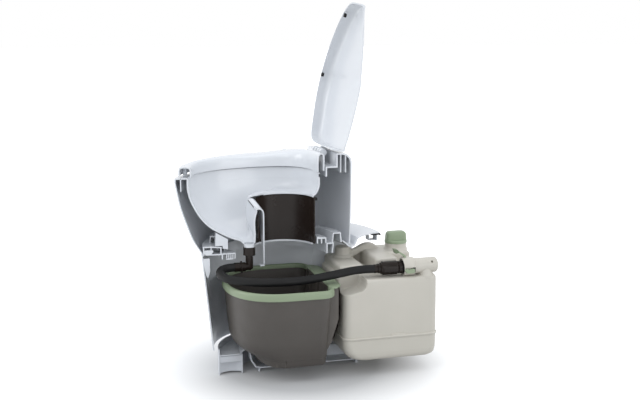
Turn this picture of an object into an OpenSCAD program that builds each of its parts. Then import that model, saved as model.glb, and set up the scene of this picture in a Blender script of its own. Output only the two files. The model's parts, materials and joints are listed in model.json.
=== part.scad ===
/* [Housing] */
// Thickness of the white moulded walls
wall = 3; // [2:0.25:4]
// Radius of the round housing at its top edge
housing_r = 165; // [150:1:180]
// Radius of the round housing at its lower edge
housing_low_r = 143; // [136:1:160]
// Height of the housing's lower edge
housing_low_z = 57; // [50:1:70]
// Height of the housing's top edge
housing_top_z = 276; // [266:1:282]
// Distance of each rear side wall from the middle, to its outer face
cheek_y = 115; // [110:1:124]
// Gap between pieces that rest on or beside each other
gap = 0.3; // [0.2:0.05:0.5]
// Clearance of a pin in its bore, on the radius
pin_gap = 0.05; // [0.03:0.01:0.08]

/* [Tray] */
// Radius of the tray's outer wall
tray_r = 131; // [124:1:136]
// Thickness of the tray's walls
tray_wall = 2.5; // [2:0.25:3.5]
// Height of the tray's deck around its pit
tray_deck_z = 45; // [40:1:50]
// Height of the ridge in front of the pit
tray_ridge_z = 54; // [48:1:55]
// Height of the pit's floor, underside
tray_floor_z = 8; // [5:0.5:14]
// Distance that the tray runs back from the middle
tray_rear_x = 185; // [160:1:205]
// Half the width of the pit
pit_half = 101.5; // [100.5:0.5:104]

/* [Upper body] */
// Height of the upper body's top edge
shell_top_z = 428; // [424:0.5:430]
// Distance from the middle to the nose of the top edge
shell_nose = 218; // [205:1:235]
// Half the width of the upper body at its widest
shell_half = 191; // [180:1:205]
// Distance from the middle to the back of the top edge
shell_tail = 169; // [167:1:180]
// Distance from the middle back to the widest place
beam_x = 32; // [20:1:45]

/* [Bowl] */
// Distance from the middle to the bowl's rim at the nose
bowl_nose = 189; // [180:1:194]
// Half the width of the bowl's rim
bowl_half = 128; // [122:1:134]
// Distance from the middle to the bowl's rim at the back
bowl_tail = 94; // [92:0.5:98]
// Height of the bowl's rim
bowl_rim_z = 437.5; // [430:0.5:440]
// Height of the shelf around the solids opening
ledge_z = 388; // [380:1:396]
// Radius of the solids opening
opening_r = 64; // [58:0.5:66]
// Distance from the middle back to the solids opening's centre
opening_x = 16; // [12:0.5:20]
// Distance from the middle forward to the liquid drain
drain_x = 61; // [56:0.5:66]
// Radius of the drain
drain_r = 9; // [7:0.5:10]
// Height of the crest between drain and solids opening
crest_z = 360; // [352:1:362]

/* [Seat and lid] */
// Height of the seat's top at the nose
seat_nose_z = 463; // [458:1:470]
// Height of the seat's top at the back
seat_back_z = 478; // [474:1:484]
// Half the width of the seat
seat_half = 187; // [178:1:190]
// Half the width of the seat's hole
seat_hole_half = 121; // [112:1:124]
// Height of the lid's dome above its edge
lid_crown = 30; // [24:1:40]
// Angle at which the lid stands when it's up
lid_open = 101; // [92:1:104]
// Distance from the middle back to the hinge line
hinge_x = 116.5; // [116:0.25:118]
// Height of the hinge line
hinge_z = 475.5; // [474.5:0.5:478]
// Radius of the hinge pins
pin_r = 4; // [3:0.25:5]

/* [Solids bin] */
// Height of the bin's top edge
bin_top_z = 206; // [196:1:209]
// Height of the bin's underside
bin_low_z = 38; // [36:1:44]
// Distance from the middle to the bin's front
bin_front = 119; // [112:1:122]
// Half the width of the bin
bin_half = 129.5; // [122:0.5:132]
// Distance from the middle to the bin's back
bin_rear = 95; // [88:1:97]
// Thickness of the bin's wall
bin_wall = 2.5; // [2:0.25:3.5]
// Height of the green band round the bin's edge
rim_h = 17; // [12:1:22]

/* [Canister] */
// Distance from the middle to the canister's front face
canister_front = 124; // [122:0.5:130]
// Length of the canister
canister_len = 213; // [200:1:230]
// Half the width of the canister
canister_half = 100; // [94:1:102]
// Height of the canister's underside
canister_low_z = 36; // [34:0.5:42]
// Height of the canister's shoulder
shoulder_z = 217.5; // [212:0.5:220]
// Height of the canister's upper part
hump_z = 250; // [242:1:256]
// Radius of the canister's neck
neck_r = 23; // [19:0.5:26]
// Thickness of the canister's wall
canister_wall = 2.5; // [2:0.25:3.5]

/* [Hose] */
// Outside diameter of the hose
hose_d = 18; // [14:0.5:19]
// Height of the hose's joint at the elbow
elbow_z = 239.5; // [239:0.5:240]
// Height of the inlet pipe's axis
inlet_z = 236; // [236:0.5:237]
// Distance of the inlet pipe's axis in front of the cut face
inlet_y = 78; // [76:0.5:80]

/* [Hidden] */

white = [0.93, 0.94, 0.95];
brown = [0.13, 0.1, 0.08];
sage = [0.54, 0.6, 0.48];
beige = [0.74, 0.73, 0.69];
charcoal = [0.33, 0.31, 0.29];
black = [0.06, 0.06, 0.06];

// Overrun of every cut past the face that it opens
over = 1;
// Stations along a half outline, from the nose to the back
stations = 28;
// Stations round a full outline
round_stations = 40;

// Half and whole of the seat, lid and bowl outlines
seat_nose = 209;
seat_tail = 107;
seat_lift = 3.5;
seat_low_z = bowl_rim_z + seat_lift;
seat_hole_nose = 182;
seat_hole_tail = 91;
lid_nose = 212;
lid_tail = 105;
lid_half = 184;
lid_wall = 3;
lid_gap = 2;
flange_tail = 97;

rim_out = 4;
seam_out = 2.4;
origin_x = (canister_front + canister_len + seam_out - shell_nose) / 2;
origin_y = (shell_half - bin_half - rim_out) / 2;

// Moves the model so that the middle of its box stands on the origin
module stand() translate([-origin_x, -origin_y, 0]) children();

function lerp(a, b, t) = a + (b - a) * t;
function unit(v) = v / norm(v);

// Offset of a polyline by t to its left, mitred at its corners
function side_of(a, b) = let(d = unit(b - a)) [-d[1], d[0]];
function offset_path(p, t) = [for (i = [0:len(p) - 1])
    let(n0 = side_of(p[max(i - 1, 0)], p[max(i, 1)]),
        n1 = side_of(p[min(i, len(p) - 2)], p[min(i + 1, len(p) - 1)]))
    p[i] + t * (n0 + n1) / (1 + n0 * n1)];
function reversed(p) = [for (i = [len(p) - 1:-1:0]) p[i]];
function ribbon(p, t) = concat(p, reversed(offset_path(p, t)));

// Six times the volume inside a closed set of triangles
function swept(pts, tris) =
    let(v = [for (f = tris) pts[f[0]] * cross(pts[f[1]], pts[f[2]])]) v * [for (f = tris) 1];

// Solid skinned over loops that all have the same even number of points
module skin(loops, ring = false) {
    m = len(loops);
    n = len(loops[0]);
    pts = [for (l = loops) each l];
    sides = [for (i = [0:m - (ring ? 1 : 2)], j = [0:n - 1])
        let(a = i * n, b = (i + 1) % m * n, k = (j + 1) % n)
        each [[a + j, a + k, b + k], [a + j, b + k, b + j]]];
    first = [for (k = [0:n / 2 - 2]) each [[k, n - 2 - k, k + 1], [k, n - 1 - k, n - 2 - k]]];
    last = [for (f = first) [f[0] + (m - 1) * n, f[2] + (m - 1) * n, f[1] + (m - 1) * n]];
    tris = ring ? sides : concat(sides, first, last);
    outward = swept(pts, tris) < 0;
    polyhedron(pts, [for (f = tris) outward ? f : [f[0], f[2], f[1]]]);
}

// Half outline with a rounded nose at -X and a fuller back at +X
function egg(nose, beam, half, tail, full = 2.1, slim = 0.42) = [for (i = [0:stations])
    let(a = 180 * i / stations, c = cos(a), s = sin(a))
    a <= 90 ? [beam - (beam + nose) * c, half * s * (1 - slim * c * c)]
        : [beam + (tail - beam) * pow(-c, 2 / full), i == stations ? 0 : half * pow(s, 2 / full)]];
function arc_line(r) = [for (i = [0:stations])
    let(a = 180 * i / stations) [-r * cos(a), i == stations ? 0 : r * sin(a)]];

// Half outline of the housing: an arc, then a straight wall towards the back
arc_stations = 22;
function cheek_line(r, side, back) = let(a = asin(side / r))
    [for (i = [0:stations])
        i <= arc_stations
            ? [-r * cos((180 - a) * i / arc_stations), r * sin((180 - a) * i / arc_stations)]
            : [lerp(r * cos(a), back, (i - arc_stations) / (stations - arc_stations)), side]];

// Full outline, squarer at +X than at -X
function dee(front, half, rear, full, x = 0, round = 2.2) = [for (i = [0:round_stations - 1])
    let(a = 360 * i / round_stations, c = cos(a), s = sin(a), n = c > 0 ? full : round)
    [x + (c > 0 ? rear : front) * sign(c) * pow(abs(c), 2 / n), half * sign(s) * pow(abs(s), 2 / n)]];

function at_z(line, z) = [for (p = line) [p[0], p[1], z]];
function inward(p, t) = p - t * unit(p);

// Tray
pit_front = 40;
pit_mid_x = 40;
pit_round = 0.55;
tray_cheek_y = cheek_y - wall - gap;
tray_lip_z = housing_low_z + over;
// Top of the tray from its outer wall to the pit's foot: places as shares of that width, and
// heights as shares of the rise from the pit's floor to the deck and of the ridge over the deck
slope_shares = [[0, 1, 0], [0.53, 1, 0], [0.6, 1, 0.85], [0.64, 1, 1], [0.75, 1, 0.95],
    [0.8, 0.5, 0.1], [0.91, 0.1, 0], [1, 0.06, 0]];
pit_width = tray_r - pit_front;
leg_in = 50;
leg_end = 9;
foot_step = 1.5;
runner_y = 38;
runner_w = 6;
rear_foot_w = 5;
function pit_line() = [for (i = [0:stations])
    i <= arc_stations
        ? let(a = 90 * i / arc_stations)
            [pit_mid_x - (pit_mid_x + pit_front) * pow(cos(a), pit_round), pit_half * pow(sin(a), pit_round)]
        : [lerp(pit_mid_x, tray_rear_x, (i - arc_stations) / (stations - arc_stations)), pit_half]];

// Section of the sheet from the outer wall to the pit's foot, at width w
function tray_top(w, k) = [for (s = slope_shares) [lerp(tray_wall / 2, w, s[0]),
    lerp(tray_floor_z + foot_step, tray_deck_z, s[1]) + k * s[2] * (tray_ridge_z - tray_deck_z)]];
function tray_under(w, k) = [for (s = slope_shares) [lerp(tray_wall / 2, w - tray_wall, s[0]),
    lerp(tray_floor_z + foot_step, tray_deck_z, s[1]) + k * s[2] * (tray_ridge_z - tray_deck_z)
        - tray_wall]];
module base_tray() color(white) stand() {
    outer = cheek_line(tray_r, tray_cheek_y, tray_rear_x);
    pit = pit_line();
    skin([for (i = [0:stations])
        let(o = outer[i], w = norm(pit[i] - o), d = unit(pit[i] - o), k = min(1, w / pit_width))
        [for (q = concat(tray_top(w, k), [[w, 0], [w - tray_wall, 0]], reversed(tray_under(w, k))))
            [o[0] + d[0] * q[0], o[1] + d[1] * q[0], q[1]]]]);
    linear_extrude_at(0, tray_lip_z) polygon(ribbon(outer, -tray_wall));
    linear_extrude_at(foot_step, tray_deck_z - over - foot_step) polygon(ribbon([for (i = [0:leg_end])
        outer[i] + leg_in * unit(pit[i] - outer[i])], -tray_wall));
    linear_extrude_at(tray_floor_z, tray_wall) polygon(concat(
        [for (i = [0:stations]) pit[i] + tray_wall / 2 * unit(outer[i] - pit[i])], [[tray_rear_x, 0]]));
    translate([tray_rear_x - rear_foot_w, 0, 0])
        cube([rear_foot_w, pit_half + tray_wall / 2, tray_floor_z + over]);
    rotate([90, 0, 0]) linear_extrude_at(-runner_y - runner_w, runner_w) polygon([
        [0, tray_floor_z + over], [0, bin_low_z - gap], [bin_rear, bin_low_z - gap],
        [bin_rear, canister_low_z - gap], [tray_rear_x - over, canister_low_z - gap],
        [tray_rear_x - over, tray_floor_z + over]]);
}

module linear_extrude_at(z, h) translate([0, 0, z]) linear_extrude(h) children();

// Housing
cheek_x = 205;
module base_shell() color(white) stand() {
    shares = [0, 0.3, 0.65, 1];
    skin([for (i = [0:stations])
        let(ring = [for (s = shares)
                let(r = lerp(housing_low_r, housing_r, s))
                [cheek_line(r, cheek_y, cheek_x)[i], cheek_line(r - wall, cheek_y - wall, cheek_x)[i],
                    lerp(housing_low_z, housing_top_z, s)]])
        concat([for (q = ring) [q[0][0], q[0][1], q[2]]],
            reversed([for (q = ring) [q[1][0], q[1][1], q[2]]]))]);
}

// Ring on top of the housing
ring_wall = 2.5;
ring_dip = 8;
ring_h = 20;
ring_low_z = housing_top_z - ring_dip;
ring_top_z = ring_low_z + ring_h;
ring_r = housing_r - wall - 2 * gap
    - (housing_r - housing_low_r) * ring_dip / (housing_top_z - housing_low_z);
// Radii of the ring's features, as shares of the way from the chute to the housing
chute_gap = 3;
chute_r = opening_r + wall + chute_gap;
ridge_shares = [0.481, 0.7722];
shelf_share = 0.3291;
front_leg_share = 0.443;
glide_share = 0.0506;
function ring_at(s) = lerp(opening_x + chute_r, housing_r, s);
ridge_in_r = ring_at(ridge_shares[0]);
ridge_out_r = ring_at(ridge_shares[1]);
ridge_h = 15;
shelf_r = ring_at(shelf_share);
shelf_z = ring_top_z - 3 * ring_wall + gap;
leg_z = ring_low_z - 4 * ring_wall;
front_leg_r = ring_at(front_leg_share);
ridge_end = 165;
console_span = 50;

module revolve(from, to) rotate([0, 0, from]) rotate_extrude(angle = to - from) children();

module ring_cover() color(white) stand() {
    revolve(0, ridge_end) {
        polygon(ribbon([[ridge_out_r, shelf_z], [ridge_out_r - ring_wall, ring_top_z + ridge_h],
            [ridge_in_r + ring_wall, ring_top_z + ridge_h], [ridge_in_r, shelf_z], [shelf_r, shelf_z],
            [shelf_r, leg_z]], ring_wall));
        polygon([[ridge_in_r + ring_wall, shelf_z], [ridge_in_r, leg_z],
            [ridge_in_r + ring_wall, leg_z], [ridge_in_r + 2 * ring_wall, shelf_z]]);
    }
    revolve(console_span, 180) polygon(ribbon([[ring_r, ring_low_z], [ring_r, ring_top_z],
        [ridge_out_r - 2 * ring_wall, ring_top_z], [ridge_out_r - 2 * ring_wall, shelf_z]], ring_wall));
    revolve(ridge_end - over, 180) polygon(ribbon([[ridge_out_r - ring_wall, ring_top_z],
        [front_leg_r, ring_top_z - ring_wall], [front_leg_r, ring_low_z],
        [ring_r - 2 * ring_wall, ring_low_z + ring_wall / 2]], ring_wall));
}

// Small channel under the front of the ring
bracket_span = 14;
bracket_len = 30;
bracket_h = 13;
bracket_out_r = front_leg_r - gap;
bracket_top_z = ring_low_z + ring_wall + over;
module ring_bracket() color(white) stand() revolve(180 - bracket_span, 180)
    polygon(ribbon([[bracket_out_r - bracket_len, bracket_top_z - bracket_h],
        [bracket_out_r - bracket_len, bracket_top_z], [bracket_out_r, bracket_top_z],
        [bracket_out_r, bracket_top_z - bracket_h]], -ring_wall));

// Wedge that carries the front of the bowl
support_w = 12;
support_back = 13;
support_front = 14;
support_drop = 5;
support_hook_h = 8;
drain_z = 291;
// Reach and height of the bowl's wall, as shares of the way from the drain to the rim
bowl_shares = [[1, 0.84], [0.966, 0.71], [0.88, 0.55], [0.754, 0.39], [0.62, 0.28], [0.48, 0.205],
    [0.31, 0.13], [0.2, 0.09], [0.06, 0.05], [0, 0]];
// Height of the bowl's underside in the section plane at the distance x in front of the middle
function bowl_under(x) = lookup(x, [for (i = [len(bowl_shares) - 1:-1:0])
    [drain_x + drain_r + bowl_shares[i][0] * (bowl_nose - drain_x - drain_r),
        lerp(drain_z, bowl_rim_z, bowl_shares[i][1]) - wall]]);
module bowl_support() color(white) stand() rotate([90, 0, 0]) linear_extrude_at(-support_w, support_w)
    let(back = front_leg_r + support_back, front = front_leg_r - support_front)
    polygon([[-back, ring_top_z + gap], [-back + over, bowl_under(back) - support_drop],
        [-front, bowl_under(front) - support_drop], [-front, ring_top_z - support_hook_h],
        [-front_leg_r + ring_wall, ring_top_z - support_hook_h + ring_wall],
        [-front_leg_r + ring_wall, ring_top_z + gap]]);

// Ring on which the bowl unit rests
glide_in_r = ring_at(glide_share);
glide_out_r = shelf_r - gap;
glide_h = 15;
module glide_ring() color(white) stand() revolve(0, 135) difference() {
    polygon([[glide_in_r, shelf_z], [glide_in_r, shelf_z + glide_h],
        [glide_out_r, shelf_z + glide_h - ring_wall], [glide_out_r, shelf_z]]);
    for (r = [glide_in_r + ring_wall, (glide_in_r + glide_out_r + ring_wall) / 2])
        translate([r, shelf_z - over])
            square([(glide_out_r - glide_in_r - 3 * ring_wall) / 2, glide_h - 2 * ring_wall + over]);
}

// Cover behind the upper body
console_reach = 69;
console_r = housing_r + console_reach;
shell_out = 1;
console_foot_r = housing_r + shell_out - wall;
console_in_r = ridge_out_r + ring_wall;
// Its line up to the foot of the upper body and from there back, as shares of each way and of its height
console_in_shares = [[0, 0.52], [0.56, 0.31], [1, 0.09]];
console_out_shares = [[0.0958, 0], [0.1789, 0.1], [0.2859, 0.66], [0.4521, 0.83], [0.7507, 0.96], [1, 1]];
console_low_z = housing_top_z - 6 * over;
console_h = 29;
function console_line(from, to, shares) = [for (s = shares)
    [lerp(from, to, s[0]), console_low_z + s[1] * console_h]];
function console_path() = concat(console_line(console_in_r, console_foot_r, console_in_shares),
    console_line(console_foot_r, console_r, console_out_shares));
module console() color(white) stand() {
    intersection() {
        revolve(0, console_span) polygon(ribbon(console_path(), -ring_wall));
        cube([2 * housing_r, cheek_y - wall - gap, 2 * ring_top_z]);
    }
    intersection() {
        revolve(0, console_span) polygon(concat(console_path(),
            [[console_r, ring_low_z], [console_in_r, ring_low_z]]));
        translate([housing_r * cos(console_span), cheek_y - wall - gap - ring_wall, 0])
            cube([housing_r, ring_wall, 2 * ring_top_z]);
    }
}
seal_t = 2.5;
seal_w_share = 0.2535;
seal_w = seal_w_share * (console_r - console_foot_r);
seal_z = console_low_z + console_h - ring_wall - 4 * gap - seal_t - over / 2;
module console_seal() color(black) stand() revolve(0, 26) {
    translate([console_r - seal_w, seal_z]) square([seal_w, seal_t]);
    translate([console_r + seal_t / 2, seal_z + seal_t / 2]) circle(seal_t * 0.9, $fn = 24);
}
clip_len_share = 0.338;
clip_len = clip_len_share * (console_r - console_foot_r);
clip_h = 12;
module console_clip() color(white) stand() revolve(0, 6)
    polygon(ribbon([[console_r - clip_len, seal_z - gap], [console_r - clip_len, seal_z - clip_h],
        [console_r - 2 * ring_wall, seal_z - clip_h], [console_r - 2 * ring_wall, seal_z - gap]],
        ring_wall / 2));

// Upper body: heights as shares of its rise, and how far its outline has opened
shell_low_z = housing_top_z + gap;
shell_shares = [[0, 0], [0.09, 0.17], [0.19, 0.33], [0.38, 0.54], [0.52, 0.68], [0.65, 0.8],
    [0.79, 0.89], [0.9, 0.95], [1, 1]];
module upper_shell() color(white) stand() {
    low = arc_line(housing_r + shell_out);
    top = egg(shell_nose, beam_x, shell_half, shell_tail);
    skin([for (i = [0:stations])
        let(p = [for (s = shell_shares) let(q = lerp(low[i], top[i], s[1]), r = inward(q, wall))
            [q, r, lerp(shell_low_z, shell_top_z, s[0])]])
        concat([for (q = p) [q[0][0], q[0][1], q[2]]], reversed([for (q = p) [q[1][0], q[1][1], q[2]]]))]);
}

// Bowl
crest_x = 45;
crest_half = 46;
crest_t = 5;
spigot_h = 23;
ledge_turn = 18;
ledge_turn_shares = [[0.17, 0.72], [0.5, 0.22], [1, 0]];
ledge_lip = 8;
crest_bend = 6;
hem_in = 12;
hem_h = 29;
collar_span = 120;
// How far round a station is from the plain front profile to the shelf's
function shelf_mix(i) = let(t = min(1, max(0, (i / stations - 0.42) / 0.16))) t * t * (3 - 2 * t);
function bowl_front(rim, drain) = [for (s = bowl_shares)
    let(q = lerp(drain, rim, s[0])) [q[0], q[1], lerp(drain_z, bowl_rim_z, s[1])]];
function bowl_shelf(rim, drain, a) =
    let(y = crest_half * 1.2 * sin(a), edge = [-crest_x, y], u = unit(edge - rim),
        z = lerp(crest_z + over, ledge_z - ledge_lip, min(1, max(0, y / crest_half - 1) * 5)))
    concat([concat(rim, lerp(ledge_z, bowl_rim_z, 0.5))],
        [for (s = ledge_turn_shares) concat(rim + s[0] * ledge_turn * u, ledge_z + s[1] * ledge_turn)],
        [concat(lerp(rim, edge, 0.6), ledge_z), concat(edge - crest_bend * u, ledge_z - crest_bend / 2),
            concat(edge, z), [-crest_x - crest_t, y * 0.85, lerp(crest_z, drain_z, 0.3)],
            [-drain_x + drain_r * 1.3, y * 0.4, lerp(crest_z, drain_z, 0.8)], concat(drain, drain_z)]);
// Underside of a chain of points that lies in an upright plane through c
function thicken(p, t, c) = [for (i = [0:len(p) - 1])
    let(a = p[max(i - 1, 0)], b = p[min(i + 1, len(p) - 1)],
        u = unit([c[0] - p[0][0], c[1] - p[0][1], 0]), d = unit([(b - a) * u, b[2] - a[2]]),
        q = p[i] + t * d[1] * u - [0, 0, t * d[0]])
    [q[0], p[0][1] == 0 ? 0 : max(0, q[1]), q[2]]];

module bowl() color(white) stand() difference() {
    union() {
        bowl_sheet();
        bowl_hem();
        translate([opening_x, 0, 0]) revolve(0, collar_span)
            translate([opening_r, chute_top_z]) square([wall, ledge_z - chute_top_z - over]);
        translate([-screen_x - knuckle_r, crest_half, crest_z - knuckle_r])
            cube([2 * knuckle_r, ear_w, 3 * knuckle_r]);
        translate([-drain_x, 0, drain_z - spigot_h])
            cylinder(r = drain_r + ring_wall, h = spigot_h - over, $fn = 48);
    }
    screen_bore();
    translate([-drain_x, 0, drain_z - spigot_h - over]) cylinder(r = drain_r, h = 2 * spigot_h, $fn = 48);
}
module bowl_sheet() {
    rim = egg(bowl_nose, 0, bowl_half, bowl_tail, 2.8, 0.04);
    edge = bowl_edge();
    drain_edge_r = drain_r + over;
    difference() {
        skin([for (i = [0:stations])
            let(a = 180 * i / stations,
                drain = [-drain_x - drain_edge_r * cos(a), i == stations ? 0 : drain_edge_r * sin(a)],
                front = bowl_front(rim[i], drain), shelf = bowl_shelf(rim[i], drain, a), k = shelf_mix(i),
                lip = [concat(edge[i], shell_top_z + gap), concat(edge[i], bowl_rim_z),
                    concat(rim[i], bowl_rim_z)],
                p = concat(lip, [for (j = [0:len(front) - 1]) lerp(front[j], shelf[j], k)]))
            concat(p, reversed(thicken(p, wall, [-drain_x, 0])))]);
        translate([opening_x, 0, crest_z + wall]) linear_extrude(ledge_z - crest_z)
            circle(opening_r + over, $fn = 24);
        translate([-crest_x - crest_t, -over, crest_z]) cube([4 * crest_t, crest_half + 2 * over, ledge_z]);
    }
}
function bowl_edge() = egg(shell_nose, beam_x, shell_half, flange_tail, 4);
module bowl_hem() {
    edge = bowl_edge();
    skin([for (i = [0:stations / 2])
        let(a = inward(edge[i], hem_in), b = inward(edge[i], hem_in + ring_wall))
        [concat(a, bowl_rim_z - hem_h), concat(a, bowl_rim_z - over), concat(b, bowl_rim_z - over),
            concat(b, bowl_rim_z - hem_h)]]);
}

// Solids chute below the opening
chute_wall = 2.5;
chute_drop = 10;
chute_low_z = drain_z - chute_drop;
chute_top_z = ledge_z - 11;
chute_seal_w = 5;
chute_end = 9;
chute_span = acos((chute_end - crest_x - opening_x) / chute_r);
module chute() color(brown) stand() translate([opening_x, 0, 0]) revolve(0, chute_span)
    translate([chute_r - chute_wall, chute_low_z])
        square([chute_wall, ledge_z - 2 * wall - gap - chute_low_z]);
module chute_seal() color(black) stand() translate([opening_x, 0, 0]) revolve(0, 60)
    translate([chute_r + gap, chute_top_z]) square([chute_seal_w, chute_seal_w]);

// Hinged screen that hangs in the chute
screen_pin_r = 2.5;
knuckle_r = 4.5;
screen_x = crest_x;
screen_z = crest_z + knuckle_r + gap;
screen_half = 44;
screen_len = 126;
screen_t = 3;
screen_reach = 14;
screen_foot = 6;
screen_bend_shares = [[0, 0.25], [0.43, 0.21], [0.86, -0.36], [1, -1]];
tongue_shares = [[1, 0.556], [0.89, 0.714], [0.67, 0.857], [0.44, 0.944], [0.27, 1]];
backing_t = 2;
backing_h = 50;
backing_low_z = 300;
ear_w = 4;
module screen_backing() color(brown) stand() translate([-crest_x + wall + gap, 0, backing_low_z])
    cube([backing_t, screen_half - backing_t, backing_h]);
module screen_pin() color(white) stand() translate([-screen_x, 0, screen_z]) rotate([-90, 0, 0])
    cylinder(r = screen_pin_r, h = crest_half + ear_w / 2, $fn = 32);
module screen_bore() translate([-screen_x, -over, screen_z]) rotate([-90, 0, 0])
    cylinder(r = screen_pin_r + pin_gap, h = crest_half + ear_w / 2 + 2 * over, $fn = 32);
module screen_flap() color(white) stand() difference() {
    union() {
        intersection() {
            rotate([90, 0, 0]) linear_extrude_at(-screen_half, screen_half) polygon(ribbon(concat(
                [for (s = screen_bend_shares)
                    [s[0] * screen_reach - screen_x, s[1] * screen_reach + screen_z]],
                [[-screen_x + screen_reach, screen_z - screen_len]]), -screen_t));
            rotate([90, 0, 90]) linear_extrude_at(-housing_r, 2 * housing_r) polygon(concat(
                [[0, screen_z + screen_reach], [screen_half, screen_z + screen_reach]],
                [for (s = tongue_shares) [s[0] * screen_half, screen_z - s[1] * screen_len]],
                [[0, screen_z - screen_len]]));
        }
        translate([-screen_x, 0, screen_z]) rotate([-90, 0, 0])
            cylinder(r = knuckle_r, h = screen_half, $fn = 32);
        translate([-screen_x + screen_reach, 0, screen_z - screen_len])
            cube([screen_foot, 0.27 * screen_half, screen_t]);
    }
    screen_bore();
}

// Deck that carries the hinge
deck_front_x = 110;
deck_wall_x = 134;
deck_top_z = 478;
deck_bend = 17;
deck_fall = 18;
deck_round_shares = [[0, 0], [0.47, 0.17], [0.82, 0.5], [1, 1]];
trough_depth = 28;
trough_z = deck_top_z - trough_depth;
trough_y = 112;
boss_in_y = 44;
boss_w = 12;
boss_r = 2 * pin_r;
rib_t = 2;
rib_rise = 8;
rib_y = 100;
rib_first = 9;
rib_step = 11;
module deck_plan(inset) intersection() {
    polygon(egg(shell_nose - inset, beam_x, shell_half - inset, shell_tail - inset));
    translate([deck_front_x + inset, 0]) square([shell_tail, shell_half]);
}
module deck_side(t) rotate([90, 0, 0]) linear_extrude_at(-shell_half - over, shell_half + 2 * over)
    polygon(concat([[0, 0], [0, deck_top_z - t]], [for (s = deck_round_shares)
        [shell_tail - (1 - s[0]) * deck_bend - t, deck_top_z - s[1] * deck_fall - t]],
        [[shell_tail - t, 0]]));
module rear_deck() color(white) stand() difference() {
    union() {
        difference() {
            intersection() {
                linear_extrude_at(shell_top_z + gap, deck_top_z) deck_plan(0);
                deck_side(0);
            }
            intersection() {
                linear_extrude(deck_top_z) deck_plan(wall);
                deck_side(wall);
            }
            translate([deck_front_x - over, -over, trough_z])
                cube([deck_wall_x - deck_front_x + over, trough_y + over, deck_top_z]);
        }
        translate([deck_front_x, 0, trough_z - wall]) cube([deck_wall_x - deck_front_x, trough_y, wall]);
        translate([deck_wall_x, 0, trough_z - wall]) cube([wall, trough_y, trough_depth]);
        translate([deck_front_x, trough_y, trough_z - wall])
            cube([deck_wall_x - deck_front_x + wall, wall, trough_depth + over]);
        for (x = [rib_first, rib_first + rib_step]) translate([deck_wall_x + x, 0, shell_top_z + rib_rise])
            cube([rib_t, rib_y, deck_top_z - shell_top_z - rib_rise - over]);
        for (y = [boss_in_y, trough_y - boss_w]) translate([0, y, 0]) rotate([-90, 0, 0]) hinge_boss();
    }
    translate([hinge_x, 0, hinge_z]) rotate([-90, 0, 0])
        cylinder(r = pin_r + pin_gap, h = trough_y - gap / 2, $fn = 48);
}
module hinge_boss() {
    translate([hinge_x, -hinge_z, 0]) cylinder(r = boss_r, h = boss_w, $fn = 48);
    translate([hinge_x - pin_r, -hinge_z, 0]) cube([2 * pin_r, hinge_z - trough_z + over, boss_w]);
}
module hinge_pin() color(white) stand() translate([hinge_x, boss_in_y, hinge_z]) rotate([-90, 0, 0])
    cylinder(r = pin_r, h = trough_y - boss_in_y - gap, $fn = 48);

// Seat: places across its width and heights over its lower edge, as shares
seat_shares = [[0, 0], [0, 0.62], [0.09, 0.93], [0.3, 1], [0.62, 1], [0.85, 0.9], [0.97, 0.7], [1, 0]];
seat_skirt_z = bowl_rim_z + 2 * gap;
seat_lug_y = 60;
lug_w = 12;
lug_h = 10;
seat_lug_drop = 14;
buffer_r = 4.5;
seat_buffer_stations = [2, 10, 17];
function seat_outer() = egg(seat_nose, beam_x, seat_half, seat_tail, 2.5);
function seat_inner() = egg(seat_hole_nose, 0, seat_hole_half, seat_hole_tail, 2.8, 0.04);
function seat_top(x) = lerp(seat_nose_z, seat_back_z, (x + seat_nose) / (seat_nose + seat_tail));
module seat_ring() color(white) stand() {
    outer = seat_outer();
    inner = seat_inner();
    skin([for (i = [0:stations])
        let(o = outer[i], w = norm(inner[i] - o), d = unit(inner[i] - o),
            p = [for (s = seat_shares)
                [s[0] * w, lerp(s[0] > 0.9 ? seat_skirt_z : seat_low_z, seat_top(o[0]), s[1])]],
            r = offset_path(p, -wall))
        [for (q = concat(p, reversed(r))) [o[0] + d[0] * q[0], o[1] + d[1] * q[0], q[1]]]]);
}
module seat_arm() color(white) stand() translate([0, seat_lug_y, 0])
    hinge_lug(seat_tail + gap, seat_back_z - seat_lug_drop);
module hinge_lug(x, z) rotate([-90, 0, 0]) difference() {
    union() {
        translate([hinge_x, -hinge_z, 0]) cylinder(r = boss_r, h = lug_w, $fn = 48);
        linear_extrude(lug_w) polygon([[x, -z], [x, -z - lug_h], [hinge_x, -hinge_z - boss_r],
            [hinge_x, -hinge_z + boss_r]]);
    }
    translate([hinge_x, -hinge_z, -over]) cylinder(r = pin_r + pin_gap, h = lug_w + 2 * over, $fn = 48);
}
module seat_buffers() color(black) stand() {
    outer = seat_outer();
    inner = seat_inner();
    for (i = seat_buffer_stations) let(p = lerp(outer[i], inner[i], 0.45))
        translate([p[0], p[1], bowl_rim_z + gap])
            cylinder(r = buffer_r, h = seat_top(outer[i][0]) - wall - bowl_rim_z - 3 * gap, $fn = 32);
}

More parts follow.
